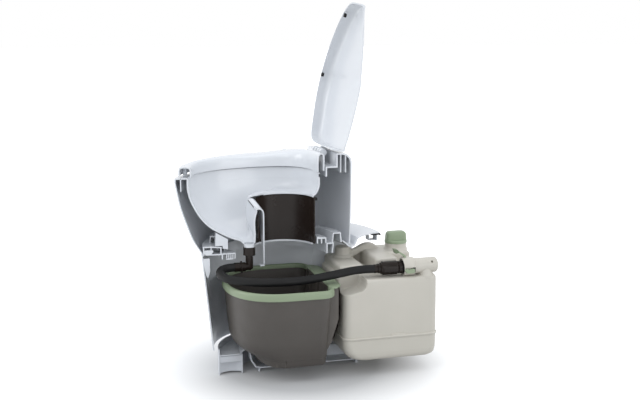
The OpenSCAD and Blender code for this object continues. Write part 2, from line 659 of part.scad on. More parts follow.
// Lid, drawn shut and then turned up about the hinge: places across and heights as shares
lid_shares = [[1, 0], [1, 0.34], [0.985, 0.56], [0.95, 0.74], [0.86, 0.89], [0.6, 0.97], [0.3, 1], [0, 1]];
lid_spine_in = 30;
lid_bulge = 10;
lid_lug_y = 80;
lid_lug_lift = 6;
lid_buffer_h = 5;
lid_buffer_stations = [4, 11];
function lid_edge() = egg(lid_nose, beam_x, lid_half, lid_tail, 4);
function lid_spine(i) = [lerp(lid_spine_in - lid_nose, lid_tail - lid_spine_in,
    (1 - cos(180 * i / stations)) / 2), 0];
module turned_up() translate([hinge_x, 0, hinge_z]) rotate([0, lid_open, 0])
    translate([-hinge_x, 0, -hinge_z]) children();
module lid() color(white) stand() turned_up() {
    edge = lid_edge();
    skin([for (i = [0:stations])
        let(s = lid_spine(i), low = lid_gap + seat_top(edge[i][0]), t = lid_wall / norm(edge[i] - s),
            crown = [for (q = lid_shares) let(x = lerp(s, edge[i], q[0])[0],
                k = sin(180 * (x + lid_nose) / (lid_nose + lid_tail)))
                q[1] * (lid_crown + (1 - q[0]) * k * lid_bulge)])
        concat([for (j = [0:7]) concat(lerp(s, edge[i], lid_shares[j][0]), low + crown[j])],
            reversed([for (j = [0:7]) concat(lerp(s, edge[i], lid_shares[j][0] * (1 - t)),
                low + max(0, crown[j] - (j > 0 ? lid_wall : 0)))]))]);
}
module lid_arm() color(white) stand() turned_up() translate([0, lid_lug_y, 0])
    hinge_lug(lid_tail + gap, seat_back_z + lid_lug_lift);
module lid_buffers() color(black) stand() turned_up() {
    edge = lid_edge();
    for (i = lid_buffer_stations)
        let(p = edge[i] + (lid_wall + buffer_r + 2 * over) * unit(lid_spine(i) - edge[i]))
        translate([p[0], p[1], seat_top(edge[i][0]) + gap])
            cylinder(r = buffer_r, h = lid_buffer_h, $fn = 32);
}

// Drain elbow
nut_r = 13;
nut_h = 18;
nut_lip = 3;
nut_low_z = drain_z - spigot_h - nut_lip;
pipe_r = 8;
barb_r = 10;
barb_x = 94;
barb_len = 24;
elbow_clip_x = 80;
elbow_clip_w = 2.5;
module collar_nut() color(brown) stand() translate([-drain_x, 0, nut_low_z]) difference() {
    cylinder(r = nut_r, h = nut_h, $fn = 48);
    translate([0, 0, nut_lip]) cylinder(r = drain_r + ring_wall + gap, h = nut_h, $fn = 48);
    translate([0, 0, -over]) cylinder(r = pipe_r + gap, h = nut_h, $fn = 48);
}
module hose_elbow() color(brown) stand() {
    translate([-drain_x, 0, elbow_z]) {
        cylinder(r = pipe_r, h = drain_z - spigot_h - gap - elbow_z, $fn = 40);
        sphere(r = pipe_r, $fn = 40);
        rotate([0, -90, 0]) cylinder(r = pipe_r, h = pipe_r + over, $fn = 40);
    }
    translate([-barb_x, 0, elbow_z]) rotate([0, 90, 0]) cylinder(r = barb_r, h = barb_len, $fn = 40);
}
module elbow_clip() color(brown) stand() translate([-elbow_clip_x, 0, elbow_z]) rotate([0, 90, 0])
    difference() {
        cylinder(r = nut_r, h = elbow_clip_w, $fn = 40);
        translate([0, 0, -over]) cylinder(r = barb_r + gap, h = elbow_clip_w + 2 * over, $fn = 40);
    }

// Hose, from the elbow round the front of the bin and back to the plug, whose place is set by the canister
inlet_share = 0.6479;
inlet_x = lerp(canister_front, canister_front + canister_len, inlet_share);
plug_out = 78;
plug_x = inlet_x - plug_out;
hose_front = [[-94.3, 0, 239.5], [-104, -1, 239.5], [-114, -4, 239], [-123, -12, 238], [-129, -24, 236],
    [-128, -41, 233], [-119, -58, 230], [-100, -71, 228], [-78, -79, 226], [-51, -84, 224],
    [-24, -86, 223]];
hose_rear = [[3, -86, 222], [30, -84, 222], [60, -79, 223], [90, -73, 225], [112, -70, 227],
    [134, -69, 230], [152, -71, 233], [167, -75, 235], [178, -78, 236], [183.7, -78, 236]];
hose_stretch = (plug_x - gap) / hose_rear[len(hose_rear) - 1][0];
hose_route = concat(hose_front, [for (p = hose_rear) [p[0] * hose_stretch, p[1], p[2]]]);
hose_sides = 10;
function tangent(p, i) = i == 0 ? [-1, 0, 0] : i == len(p) - 1 ? [1, 0, 0] : unit(p[i + 1] - p[i - 1]);
module hose() color(black) stand() skin([for (i = [0:len(hose_route) - 1])
    let(t = tangent(hose_route, i), s = unit(cross(t, [0, 0, 1])), u = cross(s, t))
    [for (j = [0:hose_sides - 1]) let(a = 360 * j / hose_sides)
        hose_route[i] + hose_d / 2 * (s * cos(a) + u * sin(a))]]);

// Plug on the hose's end
plug_len = 74;
plug_r = 14;
plug_neck_r = 11;
plug_neck_len = 8;
plug_nose_len = 14;
plug_rib_w = 6;
plug_rib_out = 2;
plug_seal_w = 3;
module plug_frame() stand() translate([plug_x, -inlet_y, inlet_z]) rotate([0, 90, 0]) children();
module hose_plug() color(brown) plug_frame() {
    cylinder(r = plug_neck_r, h = plug_neck_len, $fn = 40);
    translate([0, 0, plug_neck_len]) cylinder(r = plug_r, h = plug_len - plug_neck_len, $fn = 48);
    for (a = [0:60:359]) rotate([0, 0, a])
        translate([plug_r - plug_rib_out, -plug_rib_w / 2, plug_neck_len + plug_rib_out])
            cube([2 * plug_rib_out, plug_rib_w, plug_len - 3 * plug_neck_len]);
    translate([0, 0, plug_len]) cylinder(r = plug_neck_r, h = plug_nose_len, $fn = 40);
}
module plug_seal() color(black) plug_frame() translate([0, 0, plug_len + gap]) difference() {
    cylinder(r = plug_r - over, h = plug_seal_w, $fn = 40);
    translate([0, 0, -over]) cylinder(r = plug_neck_r + gap, h = plug_seal_w + 2 * over, $fn = 40);
}

// Bin: height and the reach of its front, sides and back, as shares
bin_shares = [[0, 0.42, 0.75, 0.82], [0.024, 0.454, 0.772, 0.853], [0.095, 0.504, 0.795, 0.874],
    [0.113, 0.655, 0.803, 0.879], [0.2, 0.773, 0.826, 0.889], [0.385, 0.908, 0.873, 0.91],
    [0.76, 0.958, 0.95, 0.958], [1, 1, 1, 1]];
bin_full = 4.5;
function bin_loop(s, t) = at_z(dee(bin_front * s[1] - t, bin_half * s[2] - t, bin_rear * s[3] - t, bin_full),
    lerp(bin_low_z, bin_top_z, s[0]) + (s[0] < 1 ? t : 0));
grip_half = 66;
grip_x = 117;
grip_t = 2.5;
grip_fall_shares = [[1, 0.98], [1, 0.56], [0.41, 0.32], [-0.41, 0.14]];
module bin() color(charcoal) stand() {
    grip = concat([[bin_rear - bin_wall - grip_t, bin_top_z - grip_t]], [for (s = grip_fall_shares)
        [lerp(bin_rear, grip_x, s[0]), lerp(bin_low_z, bin_top_z, s[1])]]);
    skin(concat([for (s = bin_shares) bin_loop(s, 0)],
        reversed([for (s = bin_shares) bin_loop(s, bin_wall)])));
    rotate([90, 0, 0]) linear_extrude_at(-grip_half, 2 * grip_half) polygon(ribbon(grip, -grip_t));
    for (y = [-grip_half, grip_half - grip_t]) translate([0, y + grip_t, 0]) rotate([90, 0, 0])
        linear_extrude(grip_t)
            polygon(concat(grip, [[bin_rear - 2 * grip_t, lerp(bin_low_z, bin_top_z, 0.5)]]));
}

// Green band round the bin's edge, and the flat tab behind it
rim_in = 5;
rim_top = 2.5;
rim_inside_h = 7;
rim_lean = 0.9;
tab_x = 120;
tab_spread = 12;
tab_t = 2.2;
module bin_rim() color(sage) stand() {
    section = [[rim_out, rim_top / 2 - rim_h], [rim_out, -rim_top], [rim_out / 2, rim_top],
        [rim_top - rim_in, rim_top], [-rim_in, 0], [-rim_in, -rim_inside_h],
        [-bin_wall - gap - rim_lean, -rim_inside_h], [-bin_wall - gap, gap], [gap, gap],
        [gap - rim_lean, -rim_h]];
    outlines = [for (s = section) dee(bin_front + s[0], bin_half + s[0], bin_rear + s[0], bin_full)];
    difference() {
        skin([for (i = [0:round_stations - 1]) [for (j = [0:len(section) - 1])
            concat(outlines[j][i], bin_top_z + section[j][1])]], ring = true);
        translate([bin_rear - 3 * rim_in, -grip_half - over, bin_top_z - rim_h - over])
            cube([tab_x - bin_rear + 3 * rim_in, 2 * (grip_half + over), rim_h + over + gap]);
    }
    linear_extrude_at(bin_top_z + gap, tab_t) polygon([[bin_rear - rim_top, -grip_half - tab_spread],
        [tab_x, -grip_half], [tab_x, grip_half], [bin_rear - rim_top, grip_half + tab_spread]]);
}

// Canister: heights as shares of the shoulder's, and how far its outline draws in
canister_full = 6;
canister_round = 12;
canister_shares = [[0, 1], [0.02, 0.42], [0.06, 0.12], [0.27, 0], [0.276, -0.2], [0.298, -0.2],
    [0.304, 0], [0.9, 0.25], [0.975, 0.45], [1, 0.95]];
canister_end = canister_front + canister_len;
canister_mid_x = canister_front + canister_len / 2;
// Places along the canister, as shares of its length
front_hump_shares = [0.0376, 0.2911];
main_hump_shares = [0.4225, 0.9577];
notch_share = 0.2347;
boss_share = 0.1972;
arch_end_share = 0.6103;
neck_share = 0.7653;
function along(s) = lerp(canister_front, canister_end, s);
function canister_loop(s, t) =
    let(d = canister_round * s[1] + t)
    at_z(dee(canister_len / 2 - d, canister_half - d, canister_len / 2 - d, canister_full, canister_mid_x,
        canister_full), lerp(canister_low_z + t, shoulder_z - t, s[0]));
// Loops of a block with upright sides and a round at its top
block_shares = [[0, 1], [0.3, 0.3], [1, 0]];
function block_loop(x0, x1, y0, y1, z, e) = [for (i = [0:round_stations - 1])
    let(a = 360 * (i + 0.5) / round_stations, c = cos(a), s = sin(a))
    [(x0 + x1) / 2 + ((x1 - x0) / 2 - e) * sign(c) * pow(abs(c), 0.4),
        (y0 + y1) / 2 + ((y1 - y0) / 2 - e) * sign(s) * pow(abs(s), 0.4), z]];
function block(x0, x1, y0, y1, z0, z1, d) = concat([block_loop(x0, x1, y0, y1, z0, 0)],
    [for (k = block_shares) block_loop(x0, x1, y0, y1, z1 - k[1] * d, k[0] * d)]);
notch_x = along(notch_share);
notch_y = 48;
notch_depth = 24;
notch_z = shoulder_z - notch_depth;
front_hump_x = [for (s = front_hump_shares) along(s)];
front_hump_y = [-36, 92];
front_hump_h = 20;
front_hump_z = shoulder_z + front_hump_h;
main_hump_x = [for (s = main_hump_shares) along(s)];
main_hump_y = [-48, 92];
hump_round = 9;
boss_x = along(boss_share);
boss_y = 56;
foot_r = 21;
foot_h = 6;
post_r = 17;
post_h = 22;
neck_x = along(neck_share);
neck_y = 40;
neck_h = 18;
neck_top_z = hump_z + neck_h;
// Middle line of the grip from the post to the upper part, as shares of the way and of the post's height
arch_shares = [[0, 0.1], [0.34, 0.64], [0.52, 1], [0.68, 1.1], [0.84, 0.91], [1, 0.27]];
arch_end = along(arch_end_share);
arch_half = 7;
arch_t = 15;
arch_cut_shares = [[-1, -0.93], [-1, 0], [-0.43, 0.2], [0.43, 0.2], [1, 0], [1, -0.93]];
module canister_form(t) {
    difference() {
        skin([for (s = canister_shares) canister_loop(s, t)]);
        translate([0, -2 * canister_half, notch_z - t])
            cube([notch_x + t, 2 * canister_half - notch_y + t, notch_z]);
    }
    skin(block(front_hump_x[0] + t, front_hump_x[1] - t, front_hump_y[0] + t, front_hump_y[1] - t,
        notch_z, front_hump_z - t, hump_round));
    skin(block(main_hump_x[0] + t, main_hump_x[1] - t, main_hump_y[0] + t, main_hump_y[1] - t,
        notch_z, hump_z - t, hump_round));
}
module canister() color(beige) stand() {
    difference() {
        union() {
            canister_form(0);
            translate([neck_x, neck_y, hump_z - over]) cylinder(r = neck_r, h = neck_h + over, $fn = 64);
        }
        canister_form(canister_wall);
        translate([neck_x, neck_y, hump_z - 4 * canister_wall])
            cylinder(r = neck_r - canister_wall, h = neck_top_z, $fn = 64);
    }
    translate([boss_x, boss_y, front_hump_z - over]) cylinder(r = foot_r, h = foot_h, $fn = 64);
    translate([boss_x, boss_y, front_hump_z]) cylinder(r = post_r, h = post_h, $fn = 64);
    skin([for (p = arch_shares) [for (q = arch_cut_shares)
        [lerp(boss_x, arch_end, p[0]), boss_y + q[0] * arch_half,
            front_hump_z + p[1] * post_h + q[1] * arch_t]]]);
}

// Cap with a grip across it
cap_out = 2.6;
cap_h = 12;
cap_skirt = 8;
cap_edge = 4;
cap_grip_half = [20, 6];
cap_grip_h = 15;
thread_gap = 0.4;
module canister_cap() color(sage) stand() translate([neck_x, neck_y, neck_top_z]) {
    difference() {
        union() {
            linear_extrude_at(-cap_skirt, cap_h) circle(neck_r + cap_out, $fn = 64);
            translate([0, 0, cap_h - cap_skirt])
                cylinder(r1 = neck_r + cap_out, r2 = neck_r + cap_out - cap_edge, h = cap_edge, $fn = 64);
        }
        linear_extrude_at(-cap_skirt - over, cap_skirt + over + gap) circle(neck_r + thread_gap, $fn = 64);
    }
    translate([0, 0, cap_h + cap_edge - cap_skirt - over])
        skin(block(-cap_grip_half[0], cap_grip_half[0], -cap_grip_half[1], cap_grip_half[1], 0,
            cap_grip_h, cap_edge));
}

// Inlet pipe on the canister's shoulder, with its collar and its two latches
inlet_r = 18;
inlet_end = canister_end + over;
inlet_bevel = 3;
inlet_back = 4;
inlet_foot_share = 0.9296;
inlet_foot_r = 17;
inlet_foot_h = 5;
vent_share = 0.9531;
vent_r = 2.5;
vent_rise = 9;
collar_len = 22;
collar_out = 3;
socket_r = 13.5;
latch_t = 3;
latch_len = 20;
latch_w = 10;
latch_tilt = 40;
latch_pin_r = 2.6;
module inlet_frame(x) stand() translate([x, -inlet_y, inlet_z]) rotate([0, 90, 0]) children();
module inlet_pipe() color(beige) difference() {
    union() {
        inlet_frame(inlet_x + collar_len)
            cylinder(r = inlet_r, h = inlet_end - inlet_x - collar_len - inlet_bevel, $fn = 64);
        inlet_frame(inlet_end - inlet_bevel)
            cylinder(r1 = inlet_r, r2 = inlet_r - inlet_bevel, h = inlet_bevel, $fn = 64);
        stand() translate([along(inlet_foot_share), -inlet_y, shoulder_z + gap])
            cylinder(r = inlet_foot_r, h = inlet_foot_h, $fn = 48);
    }
    inlet_frame(inlet_x) cylinder(r = socket_r, h = inlet_end - inlet_x - inlet_back, $fn = 48);
    stand() translate([along(vent_share), -inlet_y - inlet_r, inlet_z + vent_rise]) rotate([-90, 0, 0])
        cylinder(r = vent_r, h = inlet_r / 2, $fn = 24);
}
module inlet_collar() color(beige) inlet_frame(inlet_x) difference() {
    cylinder(r = inlet_r + collar_out, h = collar_len - gap, $fn = 64);
    translate([0, 0, -over]) cylinder(r = socket_r, h = collar_len + 2 * over, $fn = 48);
    translate([inlet_z - shoulder_z - gap, -2 * inlet_r, -over])
        cube([inlet_r, 4 * inlet_r, collar_len + 2 * over]);
}
module top_latch() color(sage) stand()
    translate([inlet_x + latch_pin_r, -inlet_y, inlet_z + inlet_r + collar_out + gap + latch_pin_r]) {
        rotate([0, latch_tilt, 0]) translate([-latch_len, -latch_w / 2, 0])
            cube([latch_len + over, latch_w, latch_t]);
        translate([0, latch_w / 2, 0]) rotate([90, 0, 0]) cylinder(r = latch_pin_r, h = latch_w, $fn = 24);
    }
module side_latch() color(sage) stand()
    translate([inlet_x + collar_len / 2, -inlet_y - inlet_r - collar_out - gap - latch_pin_r, inlet_z]) {
        translate([-latch_len, -latch_t / 2, -latch_w / 2]) cube([latch_len, latch_t, latch_w]);
        translate([0, 0, -latch_w / 2]) cylinder(r = latch_pin_r, h = latch_w, $fn = 24);
    }

base_tray();
base_shell();
ring_cover();
ring_bracket();
bowl_support();
glide_ring();
console();
console_seal();
console_clip();
upper_shell();
bowl();
chute();
chute_seal();
screen_backing();
screen_pin();
screen_flap();
rear_deck();
hinge_pin();
seat_ring();
seat_arm();
seat_buffers();
lid();
lid_arm();
lid_buffers();
collar_nut();
hose_elbow();
elbow_clip();
hose();
hose_plug();
plug_seal();
bin();
bin_rim();
canister();
canister_cap();
inlet_pipe();
inlet_collar();
top_latch();
side_latch();
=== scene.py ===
import json
from math import cos, exp, hypot, pi, radians, sin, sqrt

import bmesh
import bpy
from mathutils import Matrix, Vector


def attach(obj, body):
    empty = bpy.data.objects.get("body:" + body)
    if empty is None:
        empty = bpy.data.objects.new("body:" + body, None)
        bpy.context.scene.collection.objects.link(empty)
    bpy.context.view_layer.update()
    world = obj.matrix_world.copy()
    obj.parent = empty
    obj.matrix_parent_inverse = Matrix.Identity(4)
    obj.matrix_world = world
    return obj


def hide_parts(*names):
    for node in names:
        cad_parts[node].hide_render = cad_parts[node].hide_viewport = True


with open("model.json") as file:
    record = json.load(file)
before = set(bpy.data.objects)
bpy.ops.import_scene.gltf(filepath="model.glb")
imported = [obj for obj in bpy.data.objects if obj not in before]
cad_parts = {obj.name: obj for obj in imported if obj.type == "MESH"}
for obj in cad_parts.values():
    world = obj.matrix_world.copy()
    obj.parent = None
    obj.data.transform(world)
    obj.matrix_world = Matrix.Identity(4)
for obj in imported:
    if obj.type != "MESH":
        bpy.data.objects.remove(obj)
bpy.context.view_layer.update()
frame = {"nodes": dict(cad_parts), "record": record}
NODES = frame["nodes"]
SLOT = {part["node"]: part["material_slot"] for part in frame["record"]["subparts"]}
JOINT = {joint["name"]: joint for joint in frame["record"]["behaviour"]["joints"]}


# Sizes and places in part.scad's millimetres: X runs back, Y away from the cut face, Z up

ORIGIN = (60.7, 28.75)
UP = (0, 0, 1)
WALL, GAP = 3.0, 0.3
BEAM_X = 32

# Half outlines seen from above: nose, widest place, half width, tail
SHELL_EDGE = (218, BEAM_X, 191, 169)
BOWL_EDGE = (218, BEAM_X, 191, 97)
BOWL_RIM = (189, 0, 128, 94)
SEAT_EDGE = (209, BEAM_X, 187, 107)
SEAT_HOLE = (182, 0, 121, 91)
LID_EDGE = (212, BEAM_X, 184, 105)
STATIONS = 96

# Upper body and bowl
SHELL_LOW_R, SHELL_LOW_Z, SHELL_TOP_Z = 166, 276.3, 428.0
BOWL_RIM_Z, LEDGE_Z, DRAIN_Z = 437.5, 388.0, 291.0
DRAIN = (-61.0, 0.0)
DRAIN_R = 9
CREST_X, CREST_HALF, CREST_Z = 45.0, 46.0, 360.0
CREST_BACK, CREST_RISE, CREST_EDGE = 9, 16, 5
CHUTE = (16, 0)
OPENING_R = 64

# Seat and lid
SEAT_LOW_Z, SEAT_SKIRT_Z, SEAT_NOSE_Z, SEAT_BACK_Z = 438.1, 441.0, 463, 478
LID_CROWN = 30
HINGE_X = ORIGIN[0] + 1000 * JOINT["lid_hinge"]["pos_m"][0]
HINGE_Z = 1000 * JOINT["lid_hinge"]["pos_m"][2]
LID_OPEN = radians(-JOINT["lid_hinge"]["range_deg"][0])

# Bin, canister and hose
BIN_TOP_Z, BIN_WALL = 206, 2.5
CAN_FRONT, CAN_BACK, CAN_HALF, CAN_R = 124, 337, 100, 17
HUMP_Z, SEAM_Z = 250, 88
CAP = (287, 40)
INLET_Y, PLUG_Z, INLET_Z = -78, 236, 237
LATCH_Y = -86
HOSE_D = 18


def at(x, y, z):
    """A point of part.scad's own millimetres in the row frame."""
    return Vector(((x - ORIGIN[0]) / 1000, (y - ORIGIN[1]) / 1000, z / 1000))


def place(name, data):
    """A new object in the scene."""
    obj = bpy.data.objects.new(name, data)
    bpy.context.scene.collection.objects.link(obj)
    return obj


# Camera

CAMERA_AIM = (97, 0, 377.5)
CAMERA_DISTANCE = 2.174
CAMERA_ROUND, CAMERA_DOWN = radians(15.5), radians(10)


def make_camera():
    """Looks at the cut face from slightly in front of the side and above."""
    data = bpy.data.cameras.new("camera")
    data.sensor_width = 36
    data.lens = 56.25
    camera = place("camera", data)
    level = cos(CAMERA_DOWN)
    look = Vector((sin(CAMERA_ROUND) * level, cos(CAMERA_ROUND) * level, -sin(CAMERA_DOWN)))
    camera.location = at(*CAMERA_AIM) - CAMERA_DISTANCE * look
    camera.rotation_euler = look.to_track_quat("-Z", "Y").to_euler()
    bpy.context.scene.camera = camera


# Materials

DRIFT_SCALE, POLISH_SCALE = 6.0, 38.0
GRAIN_HEIGHT = 0.0006
COAT_ROUGHNESS = 0.12


def add(tree, kind, **values):
    """A shader node with constants on its sockets."""
    node = tree.nodes.new(kind)
    for socket, value in values.items():
        node.inputs[socket].default_value = value
    return node


def blend(tree, factor, first, second):
    """Mixes two colours, where the first may be a colour or another node's output."""
    node = tree.nodes.new("ShaderNodeMix")
    node.data_type = "RGBA"
    if isinstance(first, tuple):
        node.inputs[6].default_value = (*first, 1)
    else:
        tree.links.new(first, node.inputs[6])
    node.inputs[7].default_value = (*second, 1)
    tree.links.new(factor, node.inputs[0])
    return node.outputs[2]


def spread(tree, source, low, high, out_low, out_high):
    """Maps the range low to high of a value to another range."""
    node = tree.nodes.new("ShaderNodeMapRange")
    for i, value in enumerate((low, high, out_low, out_high)):
        node.inputs[1 + i].default_value = value
    tree.links.new(source, node.inputs[0])
    return node.outputs[0]


def plastic(name, color, shade, rough, grain, grain_depth, wear=None, coat=0.0, specular=0.5):
    """Moulded plastic: slow colour drift, uneven polish, fine surface grain and paler worn edges."""
    material = bpy.data.materials.new(name)
    material.use_nodes = True
    tree = material.node_tree
    surface = tree.nodes["Principled BSDF"]
    where = tree.nodes.new("ShaderNodeTexCoord").outputs["Object"]
    drift = add(tree, "ShaderNodeTexNoise", Scale=DRIFT_SCALE, Detail=4.0, Roughness=0.55)
    polish = add(tree, "ShaderNodeTexNoise", Scale=POLISH_SCALE, Detail=3.0)
    skin = add(tree, "ShaderNodeTexNoise", Scale=grain, Detail=2.0, Roughness=0.6)
    for noise in (drift, polish, skin):
        tree.links.new(where, noise.inputs["Vector"])
    tint = blend(tree, spread(tree, drift.outputs["Fac"], 0.35, 0.65, 0.0, 1.0), color, shade)
    if wear:
        edges = tree.nodes.new("ShaderNodeNewGeometry").outputs["Pointiness"]
        tint = blend(tree, spread(tree, edges, 0.53, 0.62, 0.0, 0.6), tint, wear)
    tree.links.new(tint, surface.inputs["Base Color"])
    tree.links.new(spread(tree, polish.outputs["Fac"], 0.3, 0.7, *rough), surface.inputs["Roughness"])
    bump = add(tree, "ShaderNodeBump", Strength=grain_depth, Distance=GRAIN_HEIGHT)
    tree.links.new(skin.outputs["Fac"], bump.inputs["Height"])
    tree.links.new(bump.outputs["Normal"], surface.inputs["Normal"])
    surface.inputs["IOR"].default_value = 1.5
    surface.inputs["Specular IOR Level"].default_value = specular
    surface.inputs["Coat Weight"].default_value = coat
    surface.inputs["Coat Roughness"].default_value = COAT_ROUGHNESS
    return material


MAT = {
    "white_plastic": plastic("white_plastic", (0.7, 0.718, 0.745), (0.675, 0.693, 0.722), (0.16, 0.26),
                             900, 0.04, coat=0.25),
    "brown_plastic": plastic("brown_plastic", (0.012, 0.008, 0.0065), (0.017, 0.012, 0.0095), (0.2, 0.3),
                             700, 0.08, wear=(0.024, 0.017, 0.014), specular=0.2),
    "green_plastic": plastic("green_plastic", (0.25, 0.31, 0.2), (0.23, 0.285, 0.18), (0.36, 0.48),
                             800, 0.1, wear=(0.36, 0.42, 0.3)),
    "bin_plastic": plastic("bin_plastic", (0.064, 0.056, 0.049), (0.056, 0.049, 0.043), (0.42, 0.55),
                           650, 0.25, wear=(0.13, 0.115, 0.1)),
    "beige_plastic": plastic("beige_plastic", (0.55, 0.52, 0.46), (0.515, 0.49, 0.43), (0.38, 0.5),
                             420, 0.22, wear=(0.68, 0.64, 0.565)),
    "black_rubber": plastic("black_rubber", (0.009, 0.009, 0.0095), (0.013, 0.013, 0.013), (0.5, 0.62),
                            500, 0.12, specular=0.22),
}
# Rougher copy of the white plastic with a darker colour: the darker colour is painted shade on the tray, the
# rougher polish is the tray's own
MATT_WHITE_PAINTED_SHADE = plastic("matt_white_painted_shade", (0.62, 0.64, 0.67), (0.59, 0.61, 0.645), (0.42, 0.52), 800, 0.06)
DARK_GREEN = plastic("dark_green", (0.1, 0.135, 0.07), (0.085, 0.115, 0.06), (0.34, 0.44), 800, 0.08,
                     wear=(0.2, 0.25, 0.15))


# CAD nodes that stay

SMOOTH_ANGLE = radians(32)
CAD_WELD, FORM_WELD = 0.00002, 0.000002
SOFT_NODES = ("collar_nut", "hose_elbow", "elbow_clip", "rear_deck", "ring_cover", "console", "hinge_pin",
              "console_clip")


def smoothing_group():
    """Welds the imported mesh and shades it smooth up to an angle, leaving its form as it is."""
    group = bpy.data.node_groups.new("smooth_form", "GeometryNodeTree")
    for way in ("INPUT", "OUTPUT"):
        group.interface.new_socket("Geometry", in_out=way, socket_type="NodeSocketGeometry")
    source, result = group.nodes.new("NodeGroupInput"), group.nodes.new("NodeGroupOutput")
    weld = add(group, "GeometryNodeMergeByDistance", Distance=CAD_WELD)
    faces = group.nodes.new("GeometryNodeSetShadeSmooth")
    edges = group.nodes.new("GeometryNodeSetShadeSmooth")
    edges.domain = "EDGE"
    edges.inputs["Shade Smooth"].default_value = False
    angle = group.nodes.new("GeometryNodeInputMeshEdgeAngle")
    over = group.nodes.new("FunctionNodeCompare")
    over.inputs[1].default_value = SMOOTH_ANGLE
    for start, end in ((source.outputs[0], weld.inputs["Geometry"]),
                       (weld.outputs[0], faces.inputs["Geometry"]),
                       (faces.outputs[0], edges.inputs["Geometry"]), (angle.outputs[0], over.inputs[0]),
                       (over.outputs[0], edges.inputs["Selection"]), (edges.outputs[0], result.inputs[0])):
        group.links.new(start, end)
    return group


def bevel(obj, width, angle):
    """Rounds an object's sharp edges, with the width in millimetres."""
    soft = obj.modifiers.new("round", "BEVEL")
    soft.width = width / 1000
    soft.segments = 2
    soft.limit_method = "ANGLE"
    soft.angle_limit = angle
    return soft


def dress_cad():
    """Gives every CAD node its material and smooth shading, and rounds the edges of those near the cut."""
    smooth = smoothing_group()
    for name, obj in NODES.items():
        obj.data.materials.clear()
        obj.data.materials.append(MAT[SLOT[name]])
        obj.modifiers.new("smooth", "NODES").node_group = smooth
    for name in SOFT_NODES:
        bevel(NODES[name], 0.4, SMOOTH_ANGLE)
    NODES["seat_buffers"].data.materials[0] = MAT["white_plastic"]
    # The tray's darker white is painted shade
    NODES["base_tray"].data.materials[0] = MATT_WHITE_PAINTED_SHADE


# Points and outlines

def lerp(a, b, t):
    return a + (b - a) * t


def mixed(p, q, t):
    return tuple(lerp(a, b, t) for a, b in zip(p, q))


def clamped(v):
    return min(1.0, max(0.0, v))


def dist(p, q):
    return sqrt(sum((a - b) ** 2 for a, b in zip(p, q)))


def power(v, e):
    """A power of a number's size, without rounding noise near zero."""
    return 0.0 if abs(v) < 1e-12 else abs(v) ** e


def flat(p, z):
    """The level point p at height z."""
    return (p[0], p[1], z)


def inward(p, t):
    """The level point p moved by t towards the middle."""
    n = hypot(p[0], p[1])
    return (p[0] - t * p[0] / n, p[1] - t * p[1] / n)


def rect(x0, x1, y0, y1):
    return [(x0, y0), (x1, y0), (x1, y1), (x0, y1)]


def egg(nose, beam, half, tail, full=2.1, slim=0.42):
    """Half outline with a rounded nose at -X and a fuller back at +X."""
    out = []
    for i in range(STATIONS + 1):
        a = pi * i / STATIONS
        c, s = cos(a), sin(a)
        if a <= pi / 2 + 1e-9:
            out.append((beam - (beam + nose) * c, half * s * (1 - slim * c * c)))
        else:
            y = half * power(s, 2 / full) if i < STATIONS else 0.0
            out.append((beam + (tail - beam) * power(c, 2 / full), y))
    return out


def half_circle(r):
    """Half outline of a round edge, with the stations of egg."""
    out = [(-r * cos(pi * i / STATIONS), r * sin(pi * i / STATIONS)) for i in range(STATIONS)]
    return out + [(r, 0.0)]


def corner(x, y, r, start, steps):
    """Quarter arc, counter-clockwise from the given angle."""
    angles = [radians(start + 90 * i / steps) for i in range(steps + 1)]
    return [(x + r * cos(a), y + r * sin(a)) for a in angles]


def flow(points, steps):
    """Smooth curve through the points."""
    last, out = len(points) - 1, []
    for i in range(last):
        p = [points[max(0, min(last, i + k))] for k in (-1, 0, 1, 2)]
        ts = [0.0]
        for a, b in zip(p, p[1:]):
            ts.append(ts[-1] + max(1e-6, sum((u - v) ** 2 for u, v in zip(a, b)) ** 0.25))
        for j in range(steps):
            t = lerp(ts[1], ts[2], j / steps)
            a1, a2, a3 = (mixed(p[k], p[k + 1], (t - ts[k]) / (ts[k + 1] - ts[k])) for k in range(3))
            b1 = mixed(a1, a2, (t - ts[0]) / (ts[2] - ts[0]))
            b2 = mixed(a2, a3, (t - ts[1]) / (ts[3] - ts[1]))
            out.append(mixed(b1, b2, (t - ts[1]) / (ts[2] - ts[1])))
    return out + [tuple(points[-1])]


def offset(path, t):
    """A flat polyline moved by t to its left, mitred at its corners."""
    out, m = [], len(path)
    for i, p in enumerate(path):
        n = []
        for a, b in ((path[max(i - 1, 0)], path[max(i, 1)]), (path[min(i, m - 2)], path[min(i + 1, m - 1)])):
            k = hypot(b[0] - a[0], b[1] - a[1])
            n.append((-(b[1] - a[1]) / k, (b[0] - a[0]) / k))
        w = t / max(0.35, 1 + n[0][0] * n[1][0] + n[0][1] * n[1][1])
        out.append((p[0] + w * (n[0][0] + n[1][0]), p[1] + w * (n[0][1] + n[1][1])))
    return out


def strip(path, t):
    """Closed outline of a strip of thickness t along a flat polyline, on its left."""
    return path + offset(path, t)[::-1]


def rounded(path, r, steps=3, closed=False):
    """A polyline with its corners turned to arcs of about radius r."""
    out, m = [], len(path)
    for i, p in enumerate(path):
        if not closed and i in (0, m - 1):
            out.append(p)
            continue
        a, b = path[i - 1], path[(i + 1) % m]
        la, lb = dist(a, p), dist(b, p)
        d = min(r, la * 0.45, lb * 0.45)
        s, e = mixed(p, a, d / la), mixed(p, b, d / lb)
        for j in range(steps + 1):
            t = j / steps
            out.append(mixed(mixed(s, p, t), mixed(p, e, t), t))
    return out


